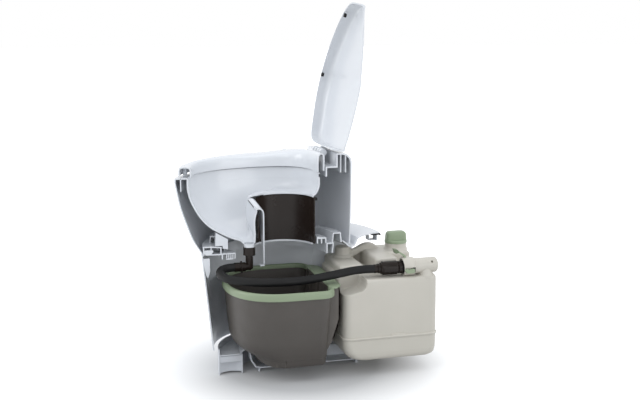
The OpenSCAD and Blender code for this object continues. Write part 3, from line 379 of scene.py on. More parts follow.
def box_plan(x0, x1, y0, y1, r, steps=9, parts=6):
    """Full outline of a box with rounded corners, with its straight runs divided."""
    r = max(0.5, min(r, (x1 - x0) / 2 - 0.1, (y1 - y0) / 2 - 0.1))
    out = []
    for k, (cx, cy) in enumerate(((x1 - r, y1 - r), (x0 + r, y1 - r), (x0 + r, y0 + r), (x1 - r, y0 + r))):
        out += corner(cx, cy, r, 90 * k, steps)
    runs = []
    for i, p in enumerate(out):
        q = out[(i + 1) % len(out)]
        runs.append(p)
        if (i + 1) % (steps + 1) == 0:
            runs += [mixed(p, q, j / parts) for j in range(1, parts)]
    return runs


# Meshes

class Form:
    """Mesh under construction, in millimetres; flush() turns it into one shaded piece."""

    def __init__(self):
        self.bm = bmesh.new()

    def face(self, verts):
        """Adds a face unless the same points already carry one."""
        try:
            self.bm.faces.new(verts)
        except ValueError:
            pass

    def skin(self, loops, ring=False):
        """Closed skin over loops of equal length, with end faces unless the loops meet in a ring."""
        rows = [[self.bm.verts.new(at(*p)) for p in loop] for loop in loops]
        m, n = len(rows), len(rows[0])
        for i in range(m if ring else m - 1):
            a, b = rows[i], rows[(i + 1) % m]
            for j in range(n):
                k = (j + 1) % n
                self.face((a[j], a[k], b[k], b[j]))
        if not ring:
            self.face(rows[0])
            self.face(rows[-1])

    def turn(self, outline, start, end, centre, steps=64):
        """Outline (radius, height) swept round an upright axis from start to end, in degrees."""
        loops = []
        for i in range(steps + 1):
            a = radians(lerp(start, end, i / steps))
            loops.append([(centre[0] + r * cos(a), centre[1] + r * sin(a), z) for r, z in outline])
        self.skin(loops)

    def plate(self, outline, y, width):
        """Upright outline (x, z) pushed along Y, from y on."""
        self.skin([[(u, y + w, v) for u, v in outline] for w in (0, width)])

    def slab(self, outline, z, height):
        """Level outline (x, y) pushed up from z."""
        self.skin([[(u, v, z + w) for u, v in outline] for w in (0, height)])

    def around(self, plan, section, z):
        """Ring: the section (outward, up) carried round plan(outward) at height z."""
        plans = [plan(out) for out, up in section]
        self.skin([[flat(q, z + up) for q, (out, up) in zip(points, section)] for points in zip(*plans)],
                  ring=True)

    def rings(self, centres, u, v, radii, sides):
        """Skin over circles with the given centres and radii, in the planes of u and v."""
        turns = [2 * pi * k / sides for k in range(sides)]
        self.skin([[tuple(c + (a * cos(t) + b * sin(t)) * r) for t in turns]
                   for c, a, b, r in zip(centres, u, v, radii)])

    def cylinder(self, base, axis, profile, sides=48):
        """Solid of revolution: profile is (distance along the axis, radius), from base along axis."""
        axis = Vector(axis).normalized()
        u = axis.orthogonal().normalized()
        v = axis.cross(u)
        n = len(profile)
        centres = [Vector(base) + axis * d for d, r in profile]
        self.rings(centres, [u] * n, [v] * n, [r for d, r in profile], sides)

    def tube(self, path, radius, sides):
        """Round bar along points."""
        pts = [Vector(p) for p in path]
        us, vs = [], []
        for i in range(len(pts)):
            t = (pts[min(i + 1, len(pts) - 1)] - pts[max(i - 1, 0)]).normalized()
            us.append((us[-1] - t * us[-1].dot(t) if us else t.orthogonal()).normalized())
            vs.append(t.cross(us[-1]))
        self.rings(pts, us, vs, [radius] * len(pts), sides)

    def bare(self, name):
        """The form as a plain object."""
        bmesh.ops.recalc_face_normals(self.bm, faces=self.bm.faces)
        mesh = bpy.data.meshes.new(name)
        self.bm.to_mesh(mesh)
        self.bm.free()
        return place(name, mesh)

    def flush(self, name, slot_name, body, replaces=(), sharp=34, edge=0.0, material=None, cuts=()):
        """The form as a finished piece, with its edges rounded by edge millimetres."""
        bmesh.ops.remove_doubles(self.bm, verts=self.bm.verts, dist=FORM_WELD)
        obj = self.bare(name)
        for cut in cuts:
            apply_cut(obj, cut)
        obj.data.materials.clear()
        obj.data.materials.append(material or MAT[slot_name])
        for polygon in obj.data.polygons:
            polygon.use_smooth = True
        obj.data.set_sharp_from_angle(angle=radians(sharp))
        if edge:
            bevel(obj, edge, radians(sharp)).harden_normals = True
        if replaces:
            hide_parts(*replaces)
        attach(obj, body)
        return obj


def applied(obj):
    """The object's mesh with its modifiers applied."""
    bpy.context.view_layer.update()
    return bpy.data.meshes.new_from_object(obj.evaluated_get(bpy.context.evaluated_depsgraph_get()))


def apply_cut(obj, cutter):
    """Cuts an object with a form and drops the form."""
    tool = cutter.bare("cut")
    mod = obj.modifiers.new("cut", "BOOLEAN")
    mod.operation = "DIFFERENCE"
    mod.solver = "EXACT"
    mod.object = tool
    shape = applied(obj)
    obj.modifiers.clear()
    obj.data = shape
    bpy.data.objects.remove(tool)


def from_object(obj):
    """A form that holds an object's mesh, with its modifiers applied; the object is dropped."""
    form = Form()
    form.bm.from_mesh(applied(obj))
    bpy.data.objects.remove(obj)
    return form


def melded(form, voxel, rounds, keep):
    """One closed skin over overlapping solids, with its inner corners softened as blow moulding does."""
    obj = form.bare("meld")
    remesh = obj.modifiers.new("remesh", "REMESH")
    remesh.mode = "VOXEL"
    remesh.voxel_size = voxel / 1000
    soften = obj.modifiers.new("soften", "SMOOTH")
    soften.factor = 0.5
    soften.iterations = rounds
    obj.modifiers.new("thin", "DECIMATE").ratio = keep
    return from_object(obj)


# Hose and plug

# The route of part.scad's hose, led on into the plug's neck
ROUTE = [(-94.3, 0, 239.5), (-104, -1, 239.5), (-114, -4, 239), (-123, -12, 238), (-129, -24, 236),
         (-128, -41, 233), (-119, -58, 230), (-100, -71, 228), (-78, -79, 226), (-51, -84, 224),
         (-24, -86, 223), (3, -86, 222), (30, -84, 222), (60, -79, 223), (90, -73, 225), (112, -70, 227),
         (134, -69, 230), (152, -71, 233), (167, -75, 235), (178, -77.6, 236),
         (187, -78, 236), (196, -78, 236)]
# Distance along X, radius, and whether the grips stand out there
PLUG = [(195, 8.9, 0), (196, 9.8, 0), (200.6, 9.8, 0), (201.4, 8.6, 0), (203, 8.6, 0), (203.8, 10.6, 0),
        (207, 10.6, 0), (207.6, 9.8, 0), (209, 9.8, 0), (209.8, 12.2, 0), (213, 13, 0), (214.4, 13, 1),
        (246.6, 13, 1), (248, 13, 0), (249.4, 12.2, 0), (250.2, 13.6, 0), (257.6, 13.6, 0), (258.2, 12, 0)]
PLUG_SIDES = 96
GRIP_H, GRIP_SHARE, GRIP_SLOPE = 1.9, 0.62, 0.1


def make_plug():
    """Bayonet plug: stepped ring neck, body with four raised grips and a plain collar."""
    reach = PLUG_SIDES / 8
    loops = []
    for x, r, grip in PLUG:
        ring = []
        for k in range(PLUG_SIDES):
            a = 2 * pi * k / PLUG_SIDES
            off = abs((k + reach) % (2 * reach) - reach) / reach
            q = r + GRIP_H * grip * clamped(1 - (off - GRIP_SHARE) / GRIP_SLOPE)
            ring.append((x, INLET_Y + q * cos(a), PLUG_Z + q * sin(a)))
        loops.append(ring)
    f = Form()
    f.skin(loops)
    return f.flush("plug_body", "brown_plastic", "housing", ["hose_plug"], edge=0.35, sharp=36)


def make_hose(plug):
    """Drain hose from the elbow round the bin's front to the plug."""
    pts = [at(*q) for q in flow(ROUTE, 4)]
    data = bpy.data.curves.new("drain_hose", "CURVE")
    data.dimensions = "3D"
    line = data.splines.new("POLY")
    line.points.add(len(pts) - 1)
    for q, w in zip(pts, line.points):
        w.co = (*q, 1)
    line.use_smooth = True
    data.bevel_depth = HOSE_D / 2000
    data.bevel_resolution = 7
    data.use_fill_caps = True
    data.materials.append(MAT["black_rubber"])
    obj = place("drain_hose", data)
    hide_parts("hose")
    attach(obj, "housing")


# Upper body and bowl

SHELF_START, SHELF_BLEND = 0.42, 0.16
DRAIN_REACH, LIP_R = 10, 4
COLLAR_Z, COLLAR_H = 384, 3
SPIGOT_Z, SPIGOT_H, SPIGOT_R = 268, 22, 11.5
HEM_LOW_Z, HEM_TOP_Z, HEM_WALL, HEM_INSET = 408.5, 436.5, 2.5, 12
SLIT_X, SLIT_Z, SLIT_R = -46, 362.6, 0.75


def make_upper_shell():
    """Flared outer body, from the round ring up to the edge under the seat."""
    flare = flow([(0, 0), (0.09, 0.17), (0.19, 0.33), (0.38, 0.54), (0.52, 0.68), (0.65, 0.8), (0.79, 0.89),
                  (0.9, 0.95), (1, 1)], 4)
    loops = []
    for a, b in zip(half_circle(SHELL_LOW_R), egg(*SHELL_EDGE)):
        line = [(mixed(a, b, out), lerp(SHELL_LOW_Z, SHELL_TOP_Z, up)) for up, out in flare]
        loops.append([flat(q, z) for q, z in line] + [flat(inward(q, WALL), z) for q, z in reversed(line)])
    f = Form()
    f.skin(loops)
    f.flush("upper_body", "white_plastic", "housing", ["upper_shell"], edge=0.8)


def crest_at(y):
    """How far the crest lies back and up at the distance y from the cut face."""
    s = clamped(y / CREST_HALF)
    return CREST_BACK * s ** 1.8, CREST_RISE * s ** 1.4


def bowl_front(rim, drain):
    """Wall of the liquid funnel, from the rim down to the drain."""
    shares = flow([(1, 0.84), (0.966, 0.71), (0.88, 0.55), (0.754, 0.39), (0.62, 0.28), (0.48, 0.205),
                   (0.31, 0.13), (0.2, 0.09), (0.06, 0.05), (0, 0)], 4)
    return [flat(mixed(drain, rim, out), lerp(DRAIN_Z, BOWL_RIM_Z, up)) for out, up in shares]


def bowl_shelf(rim, drain, a):
    """Wall behind: down to the shelf round the opening, over the crest and down to the drain."""
    fillet, nose = 18, 6
    y = CREST_HALF * 1.2 * sin(a)
    back, rise = crest_at(y)
    edge = (-CREST_X - back, y)
    u = Vector((edge[0] - rim[0], edge[1] - rim[1])).normalized()
    past = clamped((y / CREST_HALF - 1) * 5)
    pts = [flat(rim, lerp(LEDGE_Z, BOWL_RIM_Z, 0.5))]
    for k, h in ((0.17, 0.72), (0.5, 0.22), (1, 0)):
        pts.append((rim[0] + k * fillet * u.x, rim[1] + k * fillet * u.y, LEDGE_Z + h * fillet))
    pts += [flat(mixed(rim, edge, 0.6), LEDGE_Z),
            (edge[0] - nose * u.x, edge[1] - nose * u.y, LEDGE_Z - 3),
            flat(edge, lerp(CREST_Z + 1 + rise, LEDGE_Z - 8, past)),
            (edge[0] - CREST_EDGE, y * 0.85, lerp(CREST_Z, DRAIN_Z, 0.3)),
            (DRAIN[0] + DRAIN_R * 1.3, y * 0.4, lerp(CREST_Z, DRAIN_Z, 0.8)),
            flat(drain, DRAIN_Z)]
    return flow(pts, 4)


def thickened(p, t, c):
    """Underside of a chain of points that lies in an upright plane through c."""
    out = []
    u = Vector((c[0] - p[0][0], c[1] - p[0][1])).normalized()
    for i, q in enumerate(p):
        a, b = p[max(i - 1, 0)], p[min(i + 1, len(p) - 1)]
        dx, dz = (b[0] - a[0]) * u.x + (b[1] - a[1]) * u.y, b[2] - a[2]
        n = max(1e-6, hypot(dx, dz))
        y = 0.0 if p[0][1] == 0 else max(0.0, q[1] + t * dz / n * u.y)
        out.append((q[0] + t * dz / n * u.x, y, q[2] - t * dx / n))
    return out


def crest_cutter():
    """Space above the crest, open to the chute."""
    above, behind = 500, 15 - CREST_X
    loops = []
    for y in (-1, 0, 6, 12, 18, 24, 30, 36, 42, 47):
        back, rise = crest_at(y)
        section = rect(-CREST_X - CREST_EDGE - back, behind, CREST_Z + rise, above)
        loops.append([(x, y, z) for x, z in section])
    f = Form()
    f.skin(loops)
    return f


def make_bowl():
    """One wall: turned-down edge, rim, liquid funnel in front, and shelf and opening behind the crest."""
    edge, rim = egg(*BOWL_EDGE, full=4), egg(*BOWL_RIM, full=2.8, slim=0.04)
    loops = []
    for i in range(STATIONS + 1):
        a = pi * i / STATIONS
        drain = (DRAIN[0] - DRAIN_REACH * cos(a), 0.0 if i == STATIONS else DRAIN_REACH * sin(a))
        t = clamped((i / STATIONS - SHELF_START) / SHELF_BLEND)
        share = t * t * (3 - 2 * t)
        front, shelf = bowl_front(rim[i], drain), bowl_shelf(rim[i], drain, a)
        chain = [mixed(p, q, share) for p, q in zip(front, shelf)]
        lip = [flat(edge[i], SHELL_TOP_Z + GAP), flat(edge[i], BOWL_RIM_Z), flat(rim[i], BOWL_RIM_Z),
               chain[0]]
        chain = rounded(lip, LIP_R, 4) + chain[1:]
        loops.append(chain + thickened(chain, WALL, DRAIN)[::-1])
    f = Form()
    f.skin(loops)
    opening = Form()
    opening.cylinder((*CHUTE, CREST_Z + 3), UP, [(0, OPENING_R + 1), (60, OPENING_R + 1)], 96)
    f.flush("bowl_sheet", "white_plastic", "housing", ["bowl"], edge=0.7, sharp=38,
            cuts=[opening, crest_cutter()])


def make_bowl_fittings():
    """Hem inside the turned-down edge, collar round the opening and drain spigot."""
    f = Form()
    loops = []
    for q in egg(*BOWL_EDGE, full=4)[:STATIONS // 2 + 1]:
        out = inward(q, HEM_INSET)
        back = inward(out, HEM_WALL)
        loops.append([flat(out, HEM_LOW_Z), flat(out, HEM_TOP_Z), flat(back, HEM_TOP_Z),
                      flat(back, HEM_LOW_Z)])
    f.skin(loops)
    f.turn(rect(OPENING_R, OPENING_R + WALL, COLLAR_Z, COLLAR_Z + COLLAR_H), 0, 120, CHUTE, 48)
    f.cylinder((*DRAIN, SPIGOT_Z), UP,
               [(0, SPIGOT_R), (SPIGOT_H, SPIGOT_R), (SPIGOT_H, DRAIN_R), (0, DRAIN_R), (0, SPIGOT_R)])
    f.flush("bowl_hem_and_collar", "white_plastic", "housing", edge=0.4)


# Screen and chute

LEAF_X, LEAF_Y, LEAF_WALL = -27, 0.2, 2.8
LEAF_LOW_Z, LEAF_BEND_Z = 241, 352


def make_screen():
    """Hanging flap: round-topped band behind the crest, thin wall and narrowing tongue with a small foot."""
    top = flow([(-46.5, 359.5), (-44.5, 363.5), (-39, 365.6), (-33, 364), (-28.8, 359.5),
                (LEAF_X, LEAF_BEND_Z)], 4)
    width, count = 44, 22
    loops = []
    for i in range(count + 1):
        y = LEAF_Y + width * i / count
        back, rise = crest_at(y)
        low = lerp(LEAF_LOW_Z, LEAF_BEND_Z, (y / (LEAF_Y + width)) ** 0.75)
        line = [(x - back, z + rise) for x, z in top]
        line.append((LEAF_X - back, min(low, LEAF_BEND_Z - 2 + rise)))
        loops.append([(x, y, z) for x, z in strip(line, -LEAF_WALL)])
    f = Form()
    f.skin(loops)
    foot = rect(LEAF_X - 10, LEAF_X, LEAF_LOW_Z - 3, LEAF_LOW_Z + 0.2)
    f.plate(rounded(foot, 1, 2, closed=True), LEAF_Y, 11)
    f.flush("screen_leaf", "white_plastic", "screen", ["screen_flap"], edge=0.5, sharp=38)


def make_crest_slit_shade():
    """Thin black tube along the slit between crest and flap: painted shade of the gap."""
    slit = []
    for y in range(0, 44, 3):
        back, rise = crest_at(y)
        slit.append((SLIT_X - back, y + 0.8, SLIT_Z + rise))
    f = Form()
    f.tube(slit, SLIT_R, 10)
    # The black material here paints the shade in the slit; it is no rubber part
    f.flush("crest_slit_shade", "black_rubber", "housing")


def make_chute_trim():
    """Lip at the chute's top, and the pale ring with two dowels round its foot."""
    lip = Form()
    lip.turn(rect(67.4, 70, 381.4, 384.6), 0.2, 126, CHUTE)
    lip.flush("chute_lip", "brown_plastic", "housing", edge=0.3)
    ring = Form()
    ring.turn(rect(66.5, 71.5, 276.5, 280.4), 12, 150, CHUTE)
    dowel_reach, dowel_r, dowel_length = 66, 1.6, 3
    for angle in (118, 132):
        c, s = cos(radians(angle)), sin(radians(angle))
        foot = (CHUTE[0] + dowel_reach * c, CHUTE[1] + dowel_reach * s, 278.5)
        ring.cylinder(foot, (c, s, 0), [(0, dowel_r), (dowel_length, dowel_r)], 16)
    ring.flush("chute_ring", "white_plastic", "housing", edge=0.5)


# Seat and lid

LID_OVER_SEAT, LID_DOME, SPINE_INSET = 2, 10, 30
TIGHT_START, TIGHT_BLEND = 0.82, 0.06


def seat_share(x):
    """How far back a place lies on the seat, from 0 at its nose to 1 at its back."""
    return (x + SEAT_EDGE[0]) / (SEAT_EDGE[0] + SEAT_EDGE[3])


def seat_line(x):
    """Height of the seat's top: a quick rise at the nose and another at the back."""
    nose = 5 * (1 - exp(-max(0.0, x + SEAT_EDGE[0]) / 35))
    return SEAT_NOSE_Z - 2.5 + nose + 12 * max(0.0, (x + 20) / 120) ** 2.2


def make_seat():
    """Seat ring: a thin shell that is open below."""
    shares = flow([(0, 0), (0, 0.62), (0.09, 0.93), (0.3, 1), (0.62, 1), (0.85, 0.9), (0.97, 0.7), (1, 0)], 5)
    loops = []
    for o, q in zip(egg(*SEAT_EDGE, full=2.5), egg(*SEAT_HOLE, full=2.8, slim=0.04)):
        w = dist(o, q)
        d = ((q[0] - o[0]) / w, (q[1] - o[1]) / w)
        line = []
        for across, up in shares:
            low = SEAT_LOW_Z if across > 0.9 else SEAT_SKIRT_Z
            line.append((across * w, lerp(low, seat_line(o[0]), up)))
        loops.append([(o[0] + d[0] * u, o[1] + d[1] * u, z) for u, z in strip(line, -WALL)])
    f = Form()
    f.skin(loops)
    f.flush("seat", "white_plastic", "seat", ["seat_ring"], edge=0.7, sharp=40)


def opened(p):
    """A point of the shut lid where the open lid holds it."""
    x, z = p[0] - HINGE_X, p[2] - HINGE_Z
    return (HINGE_X + x * cos(LID_OPEN) + z * sin(LID_OPEN), p[1],
            HINGE_Z - x * sin(LID_OPEN) + z * cos(LID_OPEN))


def make_lid():
    """Domed shell, with a fillet inside its rim that is tighter at the hinge end."""
    soft = flow([(1, 0), (1, 0.5), (0.997, 0.68), (0.98, 0.83), (0.945, 0.94), (0.9, 0.98), (0.7, 0.995),
                 (0.35, 1), (0, 1)], 5)
    tight = flow([(1, 0), (1, 0.55), (0.999, 0.75), (0.99, 0.9), (0.97, 0.96), (0.92, 0.99), (0.7, 1),
                  (0.35, 1), (0, 1)], 5)
    nose, tail = LID_EDGE[0], LID_EDGE[3]
    loops = []
    for i, e in enumerate(egg(*LID_EDGE, full=8, slim=0.3)):
        spine = (lerp(SPINE_INSET - nose, tail - SPINE_INSET, (1 - cos(pi * i / STATIONS)) / 2), 0.0)
        low = LID_OVER_SEAT + lerp(SEAT_NOSE_Z, SEAT_BACK_Z, seat_share(e[0]))
        inner = 1 - WALL / dist(e, spine)
        hinge_end = clamped((i / STATIONS - TIGHT_START) / TIGHT_BLEND)
        over, under = [], []
        for j, (p, q) in enumerate(zip(soft, tight)):
            k, h = mixed(p, q, hinge_end)
            x = lerp(spine[0], e[0], k)
            rise = h * (LID_CROWN + (1 - k) * sin(pi * (x + nose) / (nose + tail)) * LID_DOME)
            over.append(flat(mixed(spine, e, k), low + rise))
            under.append(flat(mixed(spine, e, k * inner), low + max(0, rise - (WALL if j else 0))))
        loops.append([opened(q) for q in over + under[::-1]])
    f = Form()
    f.skin(loops)
    f.flush("lid_shell", "white_plastic", "lid", ["lid"], edge=0.8, sharp=40)


# Ribs of the cut face

def make_section_ribs():
    """Ribs and blocks that the cut face shows inside the white shells."""
    face_y = 0.3
    hook = [(-160.5, 262), (-146.5, 262), (-146, 233), (-151, 218), (-155.5, 227), (-159.5, 250)]
    block = [(-158, 280), (-140, 280), (-138, 276.5), (-143, 271), (-158, 271)]
    f = Form()
    f.plate(hook, face_y, 8)
    f.plate(rounded(block, 1.2, 3, closed=True), face_y, 7)
    for i in range(4):
        x = -111 + 4.4 * i
        f.plate(rect(x, x + 2.4, 259.5, 270.5), face_y, 5)
    f.plate(rect(-111, -95.4, 256.8, 260), face_y, 5)
    f.flush("section_ribs", "white_plastic", "housing", edge=0.4)


def make_tray_front():
    """Cross wall and curved kick plate at the tray's front."""
    front, back, low, top = -128.2, -79.8, 28, 41.4
    f = Form()
    f.plate(rect(front, back, low, top), 0.2, 2.6)
    line = [(lerp(front, back, t / 16), 1.6 + 9 * sin(pi * t / 16)) for t in range(17)]
    behind = [(x, y + 2) for x, y in line[::-1]]
    f.skin([[flat(p, z) for p in line + behind] for z in (4, 16, low + 0.4)])
    # The kick plate's darker white is painted shade
    f.flush("tray_front", "white_plastic", "housing", edge=0.5, material=MATT_WHITE_PAINTED_SHADE)


# Solids bin

# Height, then the plan at that height: front, half width, back, radius of the rear corners
TUB = [(38, 50, 99, 84, 14), (40, 53, 100.5, 85.5, 16), (54, 60, 102.6, 85.8, 18), (55.2, 64, 105, 87.3, 19),
       (60, 75, 106, 87.6, 20), (67, 86, 108, 88, 21), (76, 96, 110, 88.4, 22), (88, 103, 112.5, 89, 23),
       (112, 106.5, 116, 90, 24), (160, 111, 123, 92.5, 26), (BIN_TOP_Z, 113.5, 129.5, 95, 27)]
TUB_FOOT_ROWS = 3
GRIP_HALF = 86


def tub_plan(front, half, rear, r, grow=0.0):
    """Full outline with a rounded front, straight sides and two tight corners behind, grown all round."""
    front, half, rear, r = front + grow, half + grow, rear + grow, r + grow
    steps = 32
    quarter = []
    for i in range(1, steps + 1):
        a = pi / 2 * i / steps
        y = half * power(cos(a), 2 / 2.3) if i < steps else 0.0
        quarter.append((-front * power(sin(a), 2 / 2.3), y))
    sides = [(lerp(rear - r, 0, k / 4), half) for k in range(1, 5)]
    upper = [(rear, 0.0)] + corner(rear - r, half - r, r, 0, 10) + sides + quarter
    return upper + [(x, -y) for x, y in upper[-2:0:-1]]


def make_bin():
    """Open tub with a stepped foot and a slot in the foot's side."""
    rows = TUB[:TUB_FOOT_ROWS] + flow(TUB[TUB_FOOT_ROWS:], 3)
    outer = [[flat(q, z) for q in tub_plan(*plan)] for z, *plan in rows]
    inner = [[flat(q, z + (BIN_WALL if z < BIN_TOP_Z else 0)) for q in tub_plan(*plan, grow=-BIN_WALL)]
             for z, *plan in rows[::-1]]
    f = Form()
    f.skin(outer + inner)
    slot = Form()
    slot.plate(rect(-7, -4, 30, 55), -112, 12.6)
    f.flush("bin_tub", "bin_plastic", "housing", ["bin"], edge=0.8, sharp=30, cuts=[slot])


def make_grip():
    """Hollow handle behind the bin: a bent plate between two cheeks, with two ribs inside."""
    half, wall = GRIP_HALF, BIN_WALL
    bend = [(90, 203.5), (112, 203.5), (117, 202.64), (117, 132.08), (104.02, 91.76), (88.4, 64.88)]
    line = rounded(bend, 6, 4)
    f = Form()
    f.plate(strip(line, -wall), -half, 2 * half)
    for y in (-half, half - wall):
        f.plate(line + [(86, 64), (88, 203.5)], y, wall)
    for y in (-12, 52):
        f.plate([(86, 200), (93, 204), (91, 96), (86, 120)], y, 6)
    f.flush("bin_grip", "bin_plastic", "housing", edge=1.0, sharp=30)


def make_rim():
    """Green band with its turned edge, open at the grip, and the tab over the grip."""
    section = rounded([(4, -13.2), (4, -2.5), (2, 2.5), (-2.5, 2.5), (-5, 0), (-5, -7), (-3.7, -7),
                       (-2.8, 0.3), (0.3, 0.3), (-0.2, -14.5)], 1.6, 3, closed=True)
    f = Form()
    f.around(lambda out: tub_plan(*TUB[-1][1:], grow=out), section, BIN_TOP_Z)
    gap = Form()
    gap.slab(rect(80, 120, -GRIP_HALF - 0.5, GRIP_HALF + 0.5), 188, 18.3)
    f.flush("bin_band", "green_plastic", "housing", ["bin_rim"], edge=0.3, cuts=[gap])
    tab = Form()
    tab_plan = [(91.5, -104), (104, -106), (119.5, -87), (119.5, 87), (104, 106), (91.5, 104)]
    tab.slab(rounded(tab_plan, 6, 4, closed=True), 205.2, 3.2)
    tab.flush("bin_tab", "green_plastic", "housing", edge=1.0)


# Canister

# Height, how far the wall is drawn in there, and how far the front is drawn in besides
CAN_ROWS = [(36, 12, 24), (37.5, 7, 21), (41, 2.8, 16), (46, 0.8, 11), (54, 0, 5.5), (64, 0, 1.6), (76, 0, 0),
            (SEAM_Z, 0, 0), (150, 0.2, 0), (205, 0.6, 0), (213.5, 1.2, 0), (215.6, 2.6, 0), (217, 4.6, 0),
            (217.5, 7.5, 0)]
HANDLE_X, HANDLE_Y = 166, 56
# Raised parts: front and back, near and far side, top, radius of the upright corners
HUMP_LOW_Z, HUMP_FAR, HUMP_ROUND = 180, 92, 6
HUMPS = [(131, 187, -42, HUMP_FAR, 236.5, 9), (211, 262, -48, HUMP_FAR, HUMP_Z, 9),
         (216, 310, 4, HUMP_FAR, HUMP_Z, 9), (178, 222, 66, HUMP_FAR, 244, 6)]


def canister_loop(z, draw, nose):
    """Outline of the canister's lower part at one height."""
    r = max(4, CAN_R - draw * 0.5 + nose * 0.5)
    plan = box_plan(CAN_FRONT + draw + nose, CAN_BACK - draw, draw - CAN_HALF, CAN_HALF - draw, r)
    return [flat(q, z) for q in plan]


def hump(f, x0, x1, y0, y1, top, r):
    """Upright block with corners of radius r and a rounded top."""
    rows = [(HUMP_LOW_Z, 0.0)]
    for i in range(7):
        a = pi / 2 * i / 6
        rows.append((top - HUMP_ROUND * (1 - sin(a)), HUMP_ROUND * (1 - cos(a))))
    loops = []
    for z, k in rows:
        loops.append([flat(q, z) for q in box_plan(x0 + k, x1 - k, y0 + k, y1 - k, max(1, r - k * 0.4))])
    f.skin(loops)


def notched_body():
    """The canister's lower part, with the sloping notch under the hose cut in."""
    f = Form()
    f.skin([canister_loop(*row) for row in CAN_ROWS])
    notch = Form()
    slope = [(100, 179), (142, 188), (164, 193), (171, 199), (174, 208), (175, 260), (100, 260)]
    notch.plate(slope, -160, 112)
    body = f.bare("body")
    apply_cut(body, notch)
    return from_object(body)


def make_canister():
    """Blown body: notched lower part, raised parts, necks and the carrying grip melded into one skin."""
    f = notched_body()
    for box in HUMPS:
        hump(f, *box)
    f.cylinder((*CAP, 240), UP, [(0, 27), (12, 26.5), (15, 24.4), (25, 24.4)], 64)
    f.cylinder((HANDLE_X, HANDLE_Y, 230), UP, [(0, 24), (9.5, 23), (12, 18), (27.5, 17), (29, 15.5)], 64)
    f.cylinder((313, INLET_Y, 210), UP, [(0, 19), (9, 18.5), (10.5, 15.5), (16, 13.5), (20, 10)])
    arch = [(HANDLE_X, 239.7), (195.92, 251.58), (211.76, 259.5), (225.84, 261.7), (239.92, 257.52),
            (254, 243.44)]
    cut = [(-7, -13.95), (-7, 0), (-3.01, 3), (3.01, 3), (7, 0), (7, -13.95)]
    f.skin([[(x, HANDLE_Y + a, z + b) for a, b in cut] for x, z in flow(arch, 4)])
    melded(f, 1.25, 4, 0.3).flush("canister_body", "beige_plastic", "canister", ["canister"], sharp=180)


def make_seam():
    """Bead round the canister, with the tab in front of it."""
    section = [(-1.5, -4.2), (0.7, -4.0), (1.2, -2.6), (1.9, -1.6), (2.3, -0.2), (2.3, 1.2), (1.5, 2.6),
               (-1.5, 2.8)]
    f = Form()
    f.around(lambda out: box_plan(CAN_FRONT - out, CAN_BACK + out, -CAN_HALF - out, CAN_HALF + out,
                                  CAN_R + out, 12), section, SEAM_Z)
    tab = [(228, 89), (264, 89), (262, 94.5), (230, 94.5)]
    f.plate(rounded(tab, 1.5, 3, closed=True), -CAN_HALF - 1.4, 3)
    f.flush("canister_seam", "beige_plastic", "canister", edge=0.3, sharp=60)


def make_inlet():
    """Inlet pipe on its foot, with a vent through its end."""
    f = Form()
    f.cylinder((284, INLET_Y, INLET_Z), (1, 0, 0),
               [(0, 16.9), (50, 16.9), (52.5, 16.2), (54.2, 14.4), (54.8, 12), (50, 11)], 72)
    f.cylinder((312, INLET_Y - 5, 212), UP,
               [(0, 16.8), (5, 16.6), (7, 15), (10, 14.4), (16, 13), (20, 10)], 64)
    vent = Form()
    vent.cylinder((324, -100, 246.5), (0, 1, 0), [(0, 2.4), (16, 2.4)], 24)
    f.flush("inlet_tube", "beige_plastic", "canister", ["inlet_pipe"], edge=0.5, sharp=36, cuts=[vent])


def make_sleeve():
    """Collar that holds the plug: slanted mouth, flat underside and a window for the side latch."""
    mouth_x, floor_z, sides = 259.6, 217.9, 72
    loops = []
    for x, r in ((0, 17), (0, 20), (1.4, 20.6), (22, 20.6), (24.6, 19.4), (26.4, 16.2), (10, 16.0)):
        ring = []
        for k in range(sides):
            a = 2 * pi * k / sides
            lean = 0.09 * r * sin(a) if x < 2 else 0
            ring.append((mouth_x + x - lean, INLET_Y + r * cos(a), max(floor_z, INLET_Z + r * sin(a))))
        loops.append(ring)
    f = Form()
    f.skin(loops, ring=True)
    window = Form()
    window.plate(rect(261, 283.6, 225.5, 238), -104, 8.4)
    f.flush("inlet_sleeve", "beige_plastic", "canister", ["inlet_collar"], edge=0.5, sharp=36, cuts=[window])


def rounded_plate(outline, r, steps, y, width):
    """A form that holds one upright plate with rounded corners."""
    f = Form()
    f.plate(rounded(outline, r, steps, closed=True), y, width)
    return f


def make_latches():
    """Top latch with its thumb pad, side latch in the sleeve's window, and the hook beside it."""
    arm = rounded_plate([(245.4, 271.4), (248.4, 273.8), (265.6, 262.2), (264.2, 258.6)], 0.8, 3,
                        LATCH_Y + 3, 10)
    arm.cylinder((264.6, LATCH_Y + 2, 259.8), (0, 1, 0), [(0, 2.3), (12, 2.3)], 24)
    arm.flush("latch_arm", "green_plastic", "top_latch", ["top_latch"], edge=0.4)
    pad = rounded_plate([(238.6, 278), (247.2, 276), (250.6, 269.2), (241.8, 267.4)], 2, 4, LATCH_Y, 14)
    pad.flush("latch_pad", "green_plastic", "top_latch", edge=0.6, material=DARK_GREEN)
    side = rounded_plate([(257.5, 233.6), (262, 236.2), (270, 234.8), (279.5, 236.4), (281, 233),
                          (280.4, 227.4), (270, 226.2), (263, 226.6)], 1.6, 3, -103.6, 4.2)
    side.flush("side_arm", "green_plastic", "side_latch", ["side_latch"], edge=0.6)
    hook = rounded_plate([(277.8, 238), (283.4, 238), (283.4, 228.6), (281.6, 228.6), (281.4, 235.6),
                          (277.8, 235.8)], 0.6, 2, -99.6, 2)
    hook.flush("latch_hook", "black_rubber", "canister", edge=0.3)


